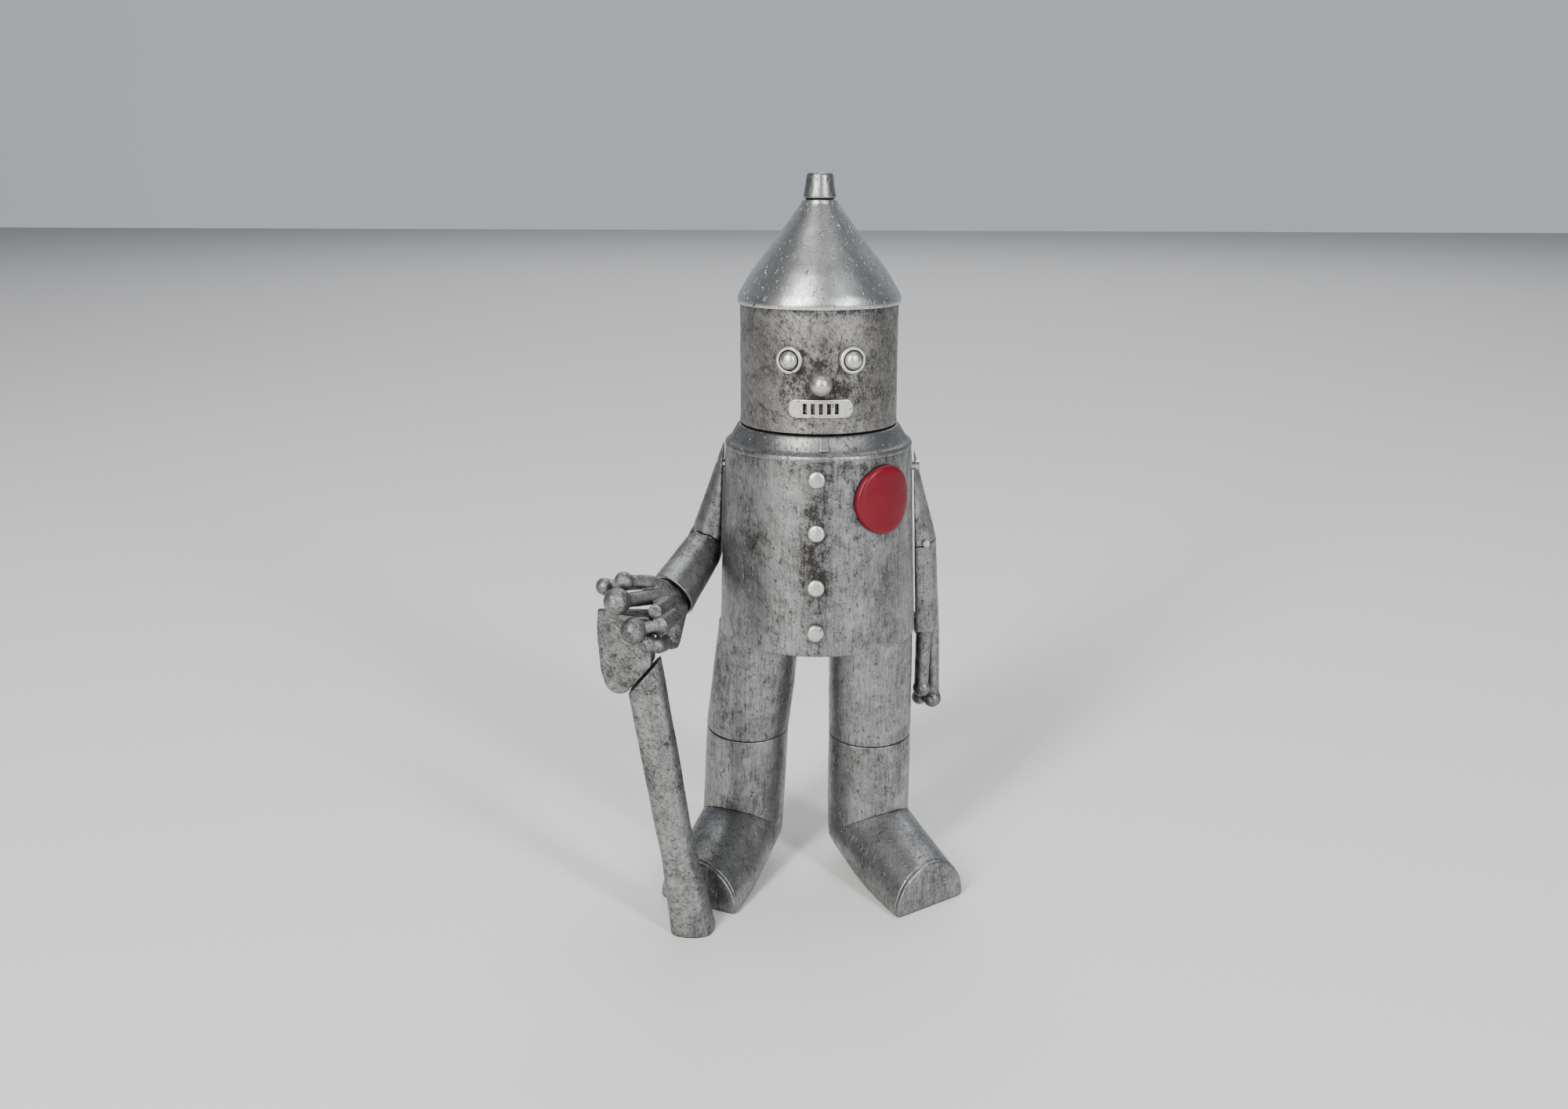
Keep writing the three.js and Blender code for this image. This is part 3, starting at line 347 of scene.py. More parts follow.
def antique_metal(name, bright, dark, brush, soot=1.0, polish=0.3, patches=(), shade=4.0):
    """Silvery metal with dark patina, brushed streaks, scratches and pits; recesses and the gaps between parts are
    darkened by painted shade (partly the patina that collects in hollows), which leaves open edges lighter.
    """
    s = Shader(name)
    cloud = s.noise(17, detail=6, roughness=0.65)
    streak = s.noise(0.75, detail=6, roughness=0.75, stretch=brush)
    grain = s.noise(0.5, detail=4, roughness=0.75)
    mottle = s.noise(3.2, detail=6, roughness=0.75)
    pits = s.noise(1.2, detail=2, roughness=0.6, stretch=tuple(0.4 + 0.6 * b for b in brush))
    # painted shade in recesses, partly the patina that collects in hollows: 1 where corners are closer than shade
    # millimetres
    recess_patina_and_shade = s.ramp(s.cavity(shade), (0.35, 1.0), (0.97, 0.0))
    # painted shade in the narrow gaps between parts
    painted_gap_shade = s.ramp(s.cavity(0.9), (0.45, 1.0), (0.8, 0.0))
    film = s.ramp(s.math("MULTIPLY_ADD", cloud, 0.5, s.math("MULTIPLY", mottle, 0.5)), (0.40, 0.1), (0.60, 1.0))
    lines = s.ramp(streak, (0.45, 0), (0.61, 1))
    dots = s.ramp(pits, (0.64, 0), (0.70, 1))
    slant = s.noise(0.55, detail=5, roughness=0.75, stretch=(1.0, 1.0, 0.16), turn=(0.5, 0.6, 0.0))
    scratches = s.ramp(slant, (0.52, 0), (0.62, 1))
    rough_film = s.math("MULTIPLY", film, s.ramp(grain, (0.3, 0.35), (0.65, 1.0)))
    stain_and_shade = s.math("MULTIPLY", rough_film, 0.85 * soot)
    stain_and_shade = s.math("ADD", stain_and_shade, s.math("MULTIPLY", lines, 0.3 * soot))
    stain_and_shade = s.math("ADD", stain_and_shade, s.math("MULTIPLY", scratches, 0.3 * soot))
    for middle, size, strength in patches:
        broken = s.math("MULTIPLY", s.patch(middle, size, strength), s.ramp(mottle, (0.35, 0.4), (0.6, 1.0)))
        stain_and_shade = s.math("ADD", stain_and_shade, broken)
    stain_and_shade = s.math("MAXIMUM", stain_and_shade, s.math("MULTIPLY", dots, 0.8))
    # painted shade: the recess mask, broken up by mottle, darkens the colour
    edge = s.math("MULTIPLY", recess_patina_and_shade, s.ramp(mottle, (0.3, 0.45), (0.6, 1.0)))
    stain_and_shade = s.math("MAXIMUM", stain_and_shade, s.math("MULTIPLY", edge, 0.95))
    # the painted gap shade darkens the colour at full strength
    stain_and_shade = s.math("MAXIMUM", stain_and_shade, painted_gap_shade)
    stain_and_shade = s.math("MINIMUM", stain_and_shade, 0.97)
    # base colour runs from bright to dark by stains, patina and the painted shade
    s.set(s.surface.inputs["Base Color"], s.mix(stain_and_shade, bright, dark))
    s.surface.inputs["Metallic"].default_value = 1.0
    rough = s.math("ADD", polish, s.math("MULTIPLY", stain_and_shade, 0.25))
    rough = s.math("ADD", rough, s.math("MULTIPLY", grain, 0.14))
    s.set(s.surface.inputs["Roughness"], rough)
    relief = s.bump(grain, 0.05, 0.6)
    relief = s.bump(streak, 0.08, 0.6, under=relief)
    relief = s.bump(s.math("SUBTRACT", 1.0, dots), 0.2, 0.9, under=relief)
    s.set(s.surface.inputs["Normal"], relief)
    return s.material


def enamel(name):
    """Glossy red enamel, a little orange-peeled, darkened at its rim where it meets the chest and in corners by
    painted shade.
    """
    s = Shader(name)
    cloud = s.noise(6, detail=3)
    fleck = s.noise(0.5, detail=3, roughness=0.7)
    # painted shade: 1 in corners closer than 1.6 mm
    painted_corner_shade = s.ramp(s.cavity(1.6), (0.3, 1.0), (0.85, 0.0))
    red = s.mix(cloud, (0.11, 0.0006, 0.006, 1), (0.17, 0.001, 0.01, 1))
    worn = s.mix(s.ramp(fleck, (0.66, 0), (0.78, 0.5)), red, (0.25, 0.01, 0.012, 1))
    # the painted shade turns the red near black
    s.set(s.surface.inputs["Base Color"], s.mix(painted_corner_shade, worn, (0.03, 0.008, 0.008, 1)))
    s.surface.inputs["Metallic"].default_value = 0.0
    s.set(s.surface.inputs["Roughness"], s.math("ADD", 0.3, s.math("MULTIPLY", fleck, 0.18)))
    s.surface.inputs["Specular IOR Level"].default_value = 0.25
    s.surface.inputs["Coat Weight"].default_value = 0.1
    s.surface.inputs["Coat Roughness"].default_value = 0.18
    s.set(s.surface.inputs["Normal"], s.bump(cloud, 0.08, 0.5, under=s.bump(fleck, 0.02, 0.4)))
    return s.material


def machined(name, color, dull, roughness, scale=0.8):
    """Cut brass or steel: turned lines, faint tarnish and oil."""
    s = Shader(name)
    cloud = s.noise(5, detail=4)
    line = s.noise(scale, detail=3, roughness=0.6, stretch=(1, 6, 1))
    s.set(s.surface.inputs["Base Color"], s.mix(s.ramp(cloud, (0.4, 0), (0.7, 1)), color, dull))
    s.surface.inputs["Metallic"].default_value = 1.0
    s.set(s.surface.inputs["Roughness"], s.math("ADD", roughness, s.math("MULTIPLY", cloud, 0.2)))
    s.set(s.surface.inputs["Normal"], s.bump(line, 0.03, 0.4))
    return s.material


def make_materials():
    # soot is the dark colour of the patina and stains, and also of the painted shade in recesses and gaps
    silver, soot = (0.39, 0.395, 0.395, 1), (0.03, 0.028, 0.026, 1)
    upright, level, round_about = (1.0, 1.0, 0.1), (1.0, 1.0, 0.5), (0.7, 0.7, 0.7)
    chest = [
        (vec(BUTTON_X, -30, 119), (6, 14, 34), 0.5),
        (around(BADGE_ANGLE, 30, BADGE_Z - 1), (15, 15, 14.5), 0.6),
        (vec(0, -20, BODY_TOP_Z), (46, 46, 7), 0.3),
        (vec(-20, -24, 120), (9, 12, 16), 0.25),
    ]
    # face patches: a darker patch across the front of the face, and a band of painted shade round the top of the
    # head under the cap's brim
    face = [(around(HEAD_TURN, HEAD_R, 172), (17, 15, 16), 0.55), (vec(0, -18, HEAD_TOP_Z), (30, 30, 4), 0.5)]
    return {
        "tin_body": antique_metal("tin_body", silver, soot, upright, soot=0.9, polish=0.25, patches=chest),
        "tin_brushed": antique_metal("tin_brushed", silver, soot, upright, soot=0.9, polish=0.24),
        "tin_bright": antique_metal("tin_bright", (0.74, 0.75, 0.745, 1), soot, upright, soot=0.55, polish=0.17),
        "tin_face": antique_metal("tin_face", (0.4, 0.39, 0.37, 1), soot, level, soot=1.0, polish=0.3, patches=face),
        # tin_cast reaches 9 mm for its painted shade, so the hands and axe darken further into their corners
        "tin_cast": antique_metal("tin_cast", (0.36, 0.365, 0.36, 1), soot, round_about, soot=1.0, polish=0.33, shade=9.0),
        "rivet": antique_metal("rivet", (0.72, 0.71, 0.67, 1), soot, round_about, soot=0.45, polish=0.25),
        "enamel": enamel("enamel"),
        "brass": machined("brass", (0.78, 0.6, 0.27, 1), (0.42, 0.29, 0.11, 1), 0.25),
        "steel": machined("steel", (0.6, 0.61, 0.62, 1), (0.32, 0.31, 0.3, 1), 0.22),
        "blued_steel": machined("blued_steel", (0.12, 0.17, 0.28, 1), (0.05, 0.06, 0.1, 1), 0.2),
    }


# ---------------------------------------------------------------- mesh tools
def worn(points, normals, amount=0.10, size=11.0, seed=0.0):
    """Pushes points along their normals by smooth unevenness, like thin metal that has been handled."""
    out = np.array(points, float)
    for i, (p, n) in enumerate(zip(points, normals)):
        at = Vector(p) / size + Vector((seed, seed * 0.7, seed * 0.3))
        fine = Vector(p) / (size * 0.28) + Vector((seed, 3.0, seed))
        out[i] += n * amount * (noise.noise(at) + 0.35 * noise.noise(fine))
    return out


def make_piece(name, points, faces, body, material, replaces, smooth=40.0):
    """Makes a mesh of points in figure millimetres, and ties it to its CAD body and nodes."""
    mesh = bpy.data.meshes.new(name)
    mesh.from_pydata([tuple(p) for p in placed(points)], [], faces)
    mesh.validate()
    piece = bpy.data.objects.new(name, mesh)
    bpy.context.scene.collection.objects.link(piece)
    return dress(piece, body, material, replaces, smooth)


def dress(piece, body, material, replaces, smooth=40.0):
    mesh = piece.data
    shape = bmesh.new()
    shape.from_mesh(mesh)
    bmesh.ops.recalc_face_normals(shape, faces=shape.faces)
    shape.to_mesh(mesh)
    shape.free()
    mesh.shade_smooth()
    mesh.set_sharp_from_angle(angle=math.radians(smooth))
    mesh.materials.clear()
    mesh.materials.append(MATERIALS[material])
    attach(piece, body)
    if replaces:
        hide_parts(*replaces)
    return piece


def loop_faces(rows, columns, wrap_rows=False, wrap_columns=True):
    """Quads of a grid of rows by columns, numbered row by row."""
    faces = []
    for i in range(rows if wrap_rows else rows - 1):
        for j in range(columns if wrap_columns else columns - 1):
            a, b = i * columns, ((i + 1) % rows) * columns
            k = (j + 1) % columns
            faces.append((a + j, a + k, b + k, b + j))
    return faces


def softened(profile, radius, steps=4):
    """A closed profile of (r, z, share) corners with each corner rounded; share scales the radius there."""
    count = len(profile)
    out = []
    for i in range(count):
        before, here, after = (np.array(profile[(i + k) % count][:2], float) for k in (-1, 0, 1))
        share = profile[i][2] if len(profile[i]) > 2 else 1.0
        to_before, to_after = before - here, after - here
        reach = min(radius * share, np.linalg.norm(to_before) * 0.45, np.linalg.norm(to_after) * 0.45)
        if reach < 1e-3:
            out.append(here)
            continue
        start, end = here + unit(to_before) * reach, here + unit(to_after) * reach
        for k in range(steps + 1):
            t = k / steps
            out.append((1 - t) ** 2 * start + 2 * t * (1 - t) * here + t * t * end)
    return out


def filled_in(profile, spacing):
    """Adds points along a closed profile so that no step is longer than a spacing."""
    out = []
    for a, b in zip(profile, profile[1:] + profile[:1]):
        steps = max(1, int(np.ceil(np.linalg.norm(b - a) / spacing)))
        out.extend(a + (b - a) * k / steps for k in range(steps))
    return out


def revolved(profile, sides=160, start=0.0, sweep=2 * math.pi, uneven=0.1, seed=0.0, spacing=1.6):
    """Points and faces of a closed (r, z) profile turned about the neck's axis, all round or part of the way."""
    profile = filled_in(profile, spacing)
    whole = sweep > 2 * math.pi - 1e-6
    columns = len(profile)
    rows = sides if whole else sides + 1
    centre = np.mean(profile, axis=0)
    points, normals = [], []
    for i in range(rows):
        angle = start + sweep * i / sides
        for r, z in profile:
            points.append(around(angle, r, z))
            normals.append(around(angle, 1, 0))
    faces = loop_faces(rows, columns, wrap_rows=whole)
    points = worn(points, normals, uneven, seed=seed)
    if not whole:
        faces.append(tuple(reversed(range(columns))))
        faces.append(tuple((rows - 1) * columns + j for j in range(columns)))
    return points, faces


def turned_on(origin, direction, profile, sides=48):
    """Points and faces of a profile of (radius, distance) from axis to axis, turned about any line."""
    direction = unit(direction)
    side = unit(np.cross(direction, (0, 0, 1) if abs(direction[2]) < 0.9 else (0, 1, 0)))
    across = np.cross(direction, side)
    points = [origin + direction * profile[0][1]]
    for r, t in profile[1:-1]:
        for i in range(sides):
            angle = 2 * math.pi * i / sides
            points.append(origin + direction * t + r * (math.cos(angle) * side + math.sin(angle) * across))
    points.append(origin + direction * profile[-1][1])
    rings = len(profile) - 2
    faces = [tuple(n + 1 for n in f) for f in loop_faces(rings, sides)]
    last = len(points) - 1
    for i in range(sides):
        k = (i + 1) % sides
        faces.append((0, 1 + i, 1 + k))
        faces.append((last, last - sides + k, last - sides + i))
    return points, faces


def smooth_least(a, b, blend):
    """The smaller of two lengths, with the corner between them rounded."""
    share = np.clip(0.5 + 0.5 * (b - a) / blend, 0, 1)
    return b * (1 - share) + a * share - blend * share * (1 - share)


class Tube:
    """A round tube along a line, ended by two planes and flattened on one side by a third if one is given."""

    def __init__(self, start, end, radius, first, last, flat=None, end_radius=None, sides=112, corner=0.9):
        self.start = np.asarray(start, float)
        line = np.asarray(end, float) - self.start
        self.direction = unit(line)
        self.radius = radius
        self.widening = 0 if end_radius is None else (end_radius - radius) / np.linalg.norm(line)
        self.planes = [(np.asarray(p, float), unit(n)) for p, n in (first, last)]
        self.flat = None if flat is None else (np.asarray(flat[0], float), unit(flat[1]))
        towards = self.flat[1] if self.flat else vec(0.13, -1, 0.2)
        self.e1 = unit(towards - self.direction * (towards @ self.direction))
        self.e2 = np.cross(self.direction, self.e1)
        self.angles = np.linspace(0, 2 * math.pi, sides, endpoint=False)
        self.corner = corner

    def section(self, s, inset):
        """Offsets from the axis of the section's outline where the axis distance is s, pulled in by an inset."""
        radius = np.maximum(self.radius + self.widening * s - inset, 0.02)
        cosine, sine = np.cos(self.angles), np.sin(self.angles)
        reach = radius
        centre = np.zeros_like(s)
        if self.flat:
            point, normal = self.flat
            axis = self.start + s[:, None] * self.direction
            depth = ((point - axis) @ normal) / (self.e1 @ normal) - inset
            centre = np.clip((depth - radius) / 2, -radius * 0.97, 0)
            round_part = -centre * cosine + np.sqrt(np.maximum(radius**2 - (centre * sine) ** 2, 1e-6))
            with np.errstate(divide="ignore"):
                flat_part = np.where(cosine > 0.02, (depth - centre) / np.maximum(cosine, 0.02), 1e3)
            flat_part = np.maximum(flat_part, 0.01)
            blend = np.minimum(self.corner, radius)
            reach = np.maximum(smooth_least(round_part, flat_part, blend), 0.01)
        along = centre + reach * cosine
        return along[:, None] * self.e1 + (reach * sine)[:, None] * self.e2, centre

    def ring(self, share, push, inset):
        """A ring of points: share 0 lies on the first plane and 1 on the last, then pushed along the axis."""
        s = np.zeros_like(self.angles)
        for _ in range(6):
            offset, centre = self.section(s, inset)
            ends = []
            for point, normal in self.planes:
                ends.append(((point - self.start) @ normal - offset @ normal) / (self.direction @ normal))
            s = ends[0] * (1 - share) + ends[1] * share + push
        return self.start + s[:, None] * self.direction + offset

    def solid(self, length_steps, lips=(0.5, 0.5), open_ends=(False, False), depth=5.0, uneven=0.08, seed=0.0):
        """A closed skin with soft lips; an open end goes down inside the wall, and a closed one is flat."""
        rows = []
        for end, share in ((0, 0.0), (1, 1.0)):
            lip = lips[end]
            bend = [math.pi / 8 * k for k in range(5)]
            fillet = [(lip * (1 - math.cos(a)), lip * (1 - math.sin(a))) for a in bend]
            inward = 1 if end == 0 else -1
            edge = [(share, inward * x, e) for x, e in fillet]
            if open_ends[end]:
                lead = [(share, inward * depth, WALL), (share, inward * lip, WALL), (share, 0, WALL)]
            else:
                lead = [(share, 0, self.radius * k) for k in (0.9, 0.6, 0.3)]
            rows.append(lead + edge)
        body = [(k / length_steps, 0, 0.0) for k in range(1, length_steps)]
        order = rows[0] + body + rows[1][::-1]
        points = np.vstack([self.ring(*row) for row in order])
        count = len(self.angles)
        first, last = points[:count].mean(0), points[-count:].mean(0)
        faces = loop_faces(len(order), count)
        axis_points = self.start + ((points - self.start) @ self.direction)[:, None] * self.direction
        normals = points - axis_points
        normals /= np.maximum(np.linalg.norm(normals, axis=1), 1e-6)[:, None]
        points = worn(points, normals, uneven, seed=seed)
        a, b = len(points), len(points) + 1
        points = np.vstack([points, first, last])
        for j in range(count):
            k = (j + 1) % count
            faces.append((a, k, j))
            base = (len(order) - 1) * count
            faces.append((b, base + j, base + k))
        return points, faces


class Lump:
    """Closed shapes joined into one body, remeshed to a fine even skin and softened."""

    def __init__(self):
        self.shape = bmesh.new()

    def ball(self, centre, radius):
        place = Matrix.Translation(Vector(placed(centre)))
        bmesh.ops.create_uvsphere(self.shape, u_segments=32, v_segments=16, radius=radius * MM, matrix=place)
        return self

    def bar(self, start, end, radius, end_radius=None, caps=True):
        start, end = Vector(placed(start)), Vector(placed(end))
        line = end - start
        place = Matrix.Translation((start + end) / 2) @ line.to_track_quat("Z", "Y").to_matrix().to_4x4()
        bmesh.ops.create_cone(
            self.shape,
            cap_ends=caps,
            segments=32,
            radius1=radius * MM,
            radius2=(radius if end_radius is None else end_radius) * MM,
            depth=line.length,
            matrix=place,
        )
        return self

    def rod(self, points, radii):
        """Bars from point to point with round knuckles."""
        for (a, ra), (b, rb) in zip(zip(points, radii), zip(points[1:], radii[1:])):
            self.bar(a, b, ra, rb)
            self.ball(b, rb)
        return self.ball(points[0], radii[0])

    def block(self, centre, size, turn=None):
        place = Matrix.Translation(Vector(placed(centre)))
        if turn is not None:
            place = place @ turn
        place = place @ Matrix.Diagonal((*(np.asarray(size, float) * MM), 1))
        bmesh.ops.create_cube(self.shape, size=1, matrix=place)
        return self

    def plate(self, outline, low, high):
        """A plate standing in X and Z; low and high give its y at each corner."""
        front = [self.shape.verts.new(placed(vec(x, y, z))) for (x, z), y in zip(outline, low)]
        back = [self.shape.verts.new(placed(vec(x, y, z))) for (x, z), y in zip(outline, high)]
        self.shape.faces.new(front)
        self.shape.faces.new(back[::-1])
        count = len(outline)
        for i in range(count):
            k = (i + 1) % count
            self.shape.faces.new((front[i], back[i], back[k], front[k]))
        return self

    def finish(self, name, voxel=0.3, smooth=6):
        mesh = bpy.data.meshes.new(name)
        bmesh.ops.recalc_face_normals(self.shape, faces=self.shape.faces)
        self.shape.to_mesh(mesh)
        self.shape.free()
        piece = bpy.data.objects.new(name, mesh)
        bpy.context.scene.collection.objects.link(piece)
        remesh = piece.modifiers.new("skin", "REMESH")
        remesh.mode = "VOXEL"
        remesh.voxel_size = voxel * MM
        soften = piece.modifiers.new("soften", "SMOOTH")
        soften.factor = 0.5
        soften.iterations = smooth
        bake_modifiers(piece)
        return piece


def bake_modifiers(piece):
    """Replaces a piece's mesh by its evaluated one."""
    graph = bpy.context.evaluated_depsgraph_get()
    made = bpy.data.meshes.new_from_object(piece.evaluated_get(graph))
    made.name = piece.name
    piece.modifiers.clear()
    old = piece.data
    piece.data = made
    bpy.data.meshes.remove(old)


def roughen(piece, amount, size, seed=0.0):
    """Moves a fine mesh in and out by noise, in millimetres."""
    mesh = piece.data
    count = len(mesh.vertices)
    co = np.zeros(count * 3)
    mesh.vertices.foreach_get("co", co)
    co = co.reshape(-1, 3)
    normals = np.array([v.normal for v in mesh.vertices])
    for i in range(count):
        at = Vector(co[i]) / (size * MM) + Vector((seed, seed, seed))
        push = noise.noise(at) + 0.5 * noise.noise(at * 2.7)
        co[i] += normals[i] * amount * MM * push
    mesh.vertices.foreach_set("co", co.ravel())
    mesh.update()


# ---------------------------------------------------------------- casing
def torso_profile(inset=0.0):
    return softened(
        [
            (BODY_BOTTOM_R - WALL, BODY_BOTTOM_Z),
            (BODY_BOTTOM_R - inset, BODY_BOTTOM_Z),
            (BODY_TOP_R - inset, BODY_TOP_Z),
            (BODY_TOP_R - WALL, BODY_TOP_Z),
        ],
        0.6,
    )


def make_torso():
    seam = math.asin(GAP / 2 / BODY_BOTTOM_R)
    for name, start in (("torso_front", -math.pi / 2 + seam), ("torso_back", math.pi / 2 + seam)):
        points, faces = revolved(
            torso_profile(), sides=120, start=start, sweep=math.pi - 2 * seam, uneven=0.16, seed=len(name)
        )
        make_piece(f"{name}_skin", points, faces, "casing", "tin_body", [name])


def make_collar():
    """The shoulder: a rolled edge over the body, a soft slope, a groove and a flat seat for the head."""
    edge, flat = BODY_TOP_R, 24.9
    z = BODY_TOP_Z - 0.25
    profile = softened(
        [
            (edge - 1.6, z + 1.2),
            (edge - 0.8, z + 0.3),
            (edge + 0.12, z),
            (edge + 0.1, z + 1.5, 2.0),
            (edge - 1.4, z + 2.5, 2.0),
            (flat + 1.3, z + 4.9, 2.0),
            (flat + 0.1, COLLAR_TOP_Z),
            (flat - 1.6, COLLAR_TOP_Z),
            (4.2, COLLAR_TOP_Z),
            (4.2, COLLAR_TOP_Z - WALL),
            (flat - 0.9, COLLAR_TOP_Z - WALL),
        ],
        0.5,
    )
    points, faces = revolved(profile, sides=200, uneven=0.16, seed=2.0)
    make_piece("collar_skin", points, faces, "casing", "tin_brushed", ["shoulder_collar"])
    angle = math.radians(6)
    tab = Lump()
    turn = Matrix.Rotation(angle, 4, "Z") @ Matrix.Rotation(math.radians(-38), 4, "X")
    tab.block(around(angle, 26.6, 152.2), (2.6, 1.3, 4.4), turn)
    piece = tab.finish("collar_tab", voxel=0.16, smooth=5)
    dress(piece, "casing", "tin_bright", [])


def rivet_profile(radius, height, shank=0.9):
    return [
        (0, -shank),
        (radius * 0.55, -shank),
        (radius * 0.55, -0.05),
        (radius * 0.93, 0.0),
        (radius, height * 0.25),
        (radius * 0.985, height * 0.5),
        (radius * 0.93, height * 0.72),
        (radius * 0.82, height * 0.88),
        (radius * 0.6, height * 0.97),
        (radius * 0.3, height),
        (0, height * 1.0),
    ]


def make_buttons():
    for i in range(1, 5):
        z = node_centre(f"coat_button_{i}").z / MM
        origin = vec(BUTTON_X, -body_radius(z) - 0.05, z)
        points, faces = turned_on(origin, vec(0, -1, 0.03), rivet_profile(BUTTON_R, 1.5))
        normals = np.tile(vec(0, -1, 0), (len(points), 1))
        points = worn(points, normals, 0.16, size=2.5, seed=float(i))
        make_piece(
            f"coat_button_{i}_head", points, faces, "casing", "rivet", [f"coat_button_{i}"]
        )


def make_badge():
    """A round enamel disc that follows the chest's curve, with a soft rim and a low crown."""
    tangent = vec(math.cos(BADGE_ANGLE), math.sin(BADGE_ANGLE), 0)
    outward = around(BADGE_ANGLE, 1, 0)
    base_r = body_radius(BADGE_Z) + GAP + 0.35
    levels = [(0.0, -0.5), (0.97, -0.5), (1.0, -0.1), (1.0, 0.7), (0.985, 1.1), (0.95, 1.38), (0.9, 1.5)]
    levels += [(share, 1.5 + 0.12 * (1 - share)) for share in (0.75, 0.6, 0.45, 0.3, 0.15, 0.0)]
    sides = 96
    points, faces = [], []

    def skin_point(share, lift, angle):
        u, v = share * BADGE_R * math.cos(angle), share * BADGE_R * math.sin(angle)
        reach = math.sqrt((base_r + lift) ** 2 - u * u)
        lean = -v * math.tan(BODY_TAPER) * 0.6
        return outward * (reach + lean) + tangent * u + vec(0, 0, BADGE_Z + v)

    points.append(skin_point(0, levels[0][1], 0))
    for share, lift in levels[1:-1]:
        points.extend(skin_point(share, lift, 2 * math.pi * k / sides) for k in range(sides))
    points.append(skin_point(0, levels[-1][1], 0))
    rings = len(levels) - 2
    faces = [tuple(n + 1 for n in f) for f in loop_faces(rings, sides)]
    last = len(points) - 1
    for i in range(sides):
        k = (i + 1) % sides
        faces.append((0, 1 + i, 1 + k))
        faces.append((last, last - sides + k, last - sides + i))
    normals = np.tile(outward, (len(points), 1))
    points = worn(points, normals, 0.07, size=4.0, seed=5.0)
    make_piece("chest_badge_disc", points, faces, "casing", "enamel", ["chest_badge"])


# ---------------------------------------------------------------- head
def make_head():
    shell = softened(
        [
            (HEAD_R - WALL, HEAD_BOTTOM_Z),
            (HEAD_R + 0.15, HEAD_BOTTOM_Z),
            (HEAD_R, HEAD_BOTTOM_Z + 2.5, 3.0),
            (HEAD_R, HEAD_TOP_Z),
            (HEAD_R - WALL, HEAD_TOP_Z),
        ],
        0.5,
    )
    points, faces = revolved(shell, sides=220, uneven=0.14, seed=3.0)
    make_piece("head_skin", points, faces, "head", "tin_face", ["head_shell"])

    brim, z = 25.2, CAP_BRIM_Z
    cone = softened(
        [
            (brim - 0.6, z),
            (brim - 0.1, z),
            (brim, z + 1.5, 2.0),
            (brim - 0.75, z + 3.3, 3.0),
            (20.2, z + 10.2, 8.0),
            (12.4, z + 20.3, 8.0),
            (5.75, z + 29.3, 2.0),
            (5.1, z + 30.6),
            (4.4, z + 30.6),
            (4.8, z + 28.8),
            (brim - 2.2, z + 3.2),
            (brim - 0.65, z + 1.4),
        ],
        0.5,
    )
    points, faces = revolved(cone, sides=220, uneven=0.2, seed=4.0)
    make_piece("cap_skin", points, faces, "head", "tin_bright", ["cap_cone"])

    neck = z + 31
    spout = softened(
        [
            (2.7, neck - 3),
            (4.1, neck - 3),
            (4.1, neck - 0.2),
            (5.05, neck + 0.1),
            (4.85, neck + 1.4, 2.0),
            (4.45, neck + 3.8, 2.0),
            (4.2, CAP_TOP_Z - 1.0, 2.0),
            (3.6, CAP_TOP_Z, 1.6),
            (2.9, CAP_TOP_Z),
            (2.7, CAP_TOP_Z - 0.8),
        ],
        0.5,
    )
    points, faces = revolved(spout, sides=96, uneven=0.22, seed=6.0, spacing=0.8)
    make_piece("cap_spout_skin", points, faces, "head", "tin_brushed", ["cap_spout"])


def on_head(angle, z):
    angle += HEAD_TURN
    return around(angle, HEAD_R, z), around(angle, 1, 0)


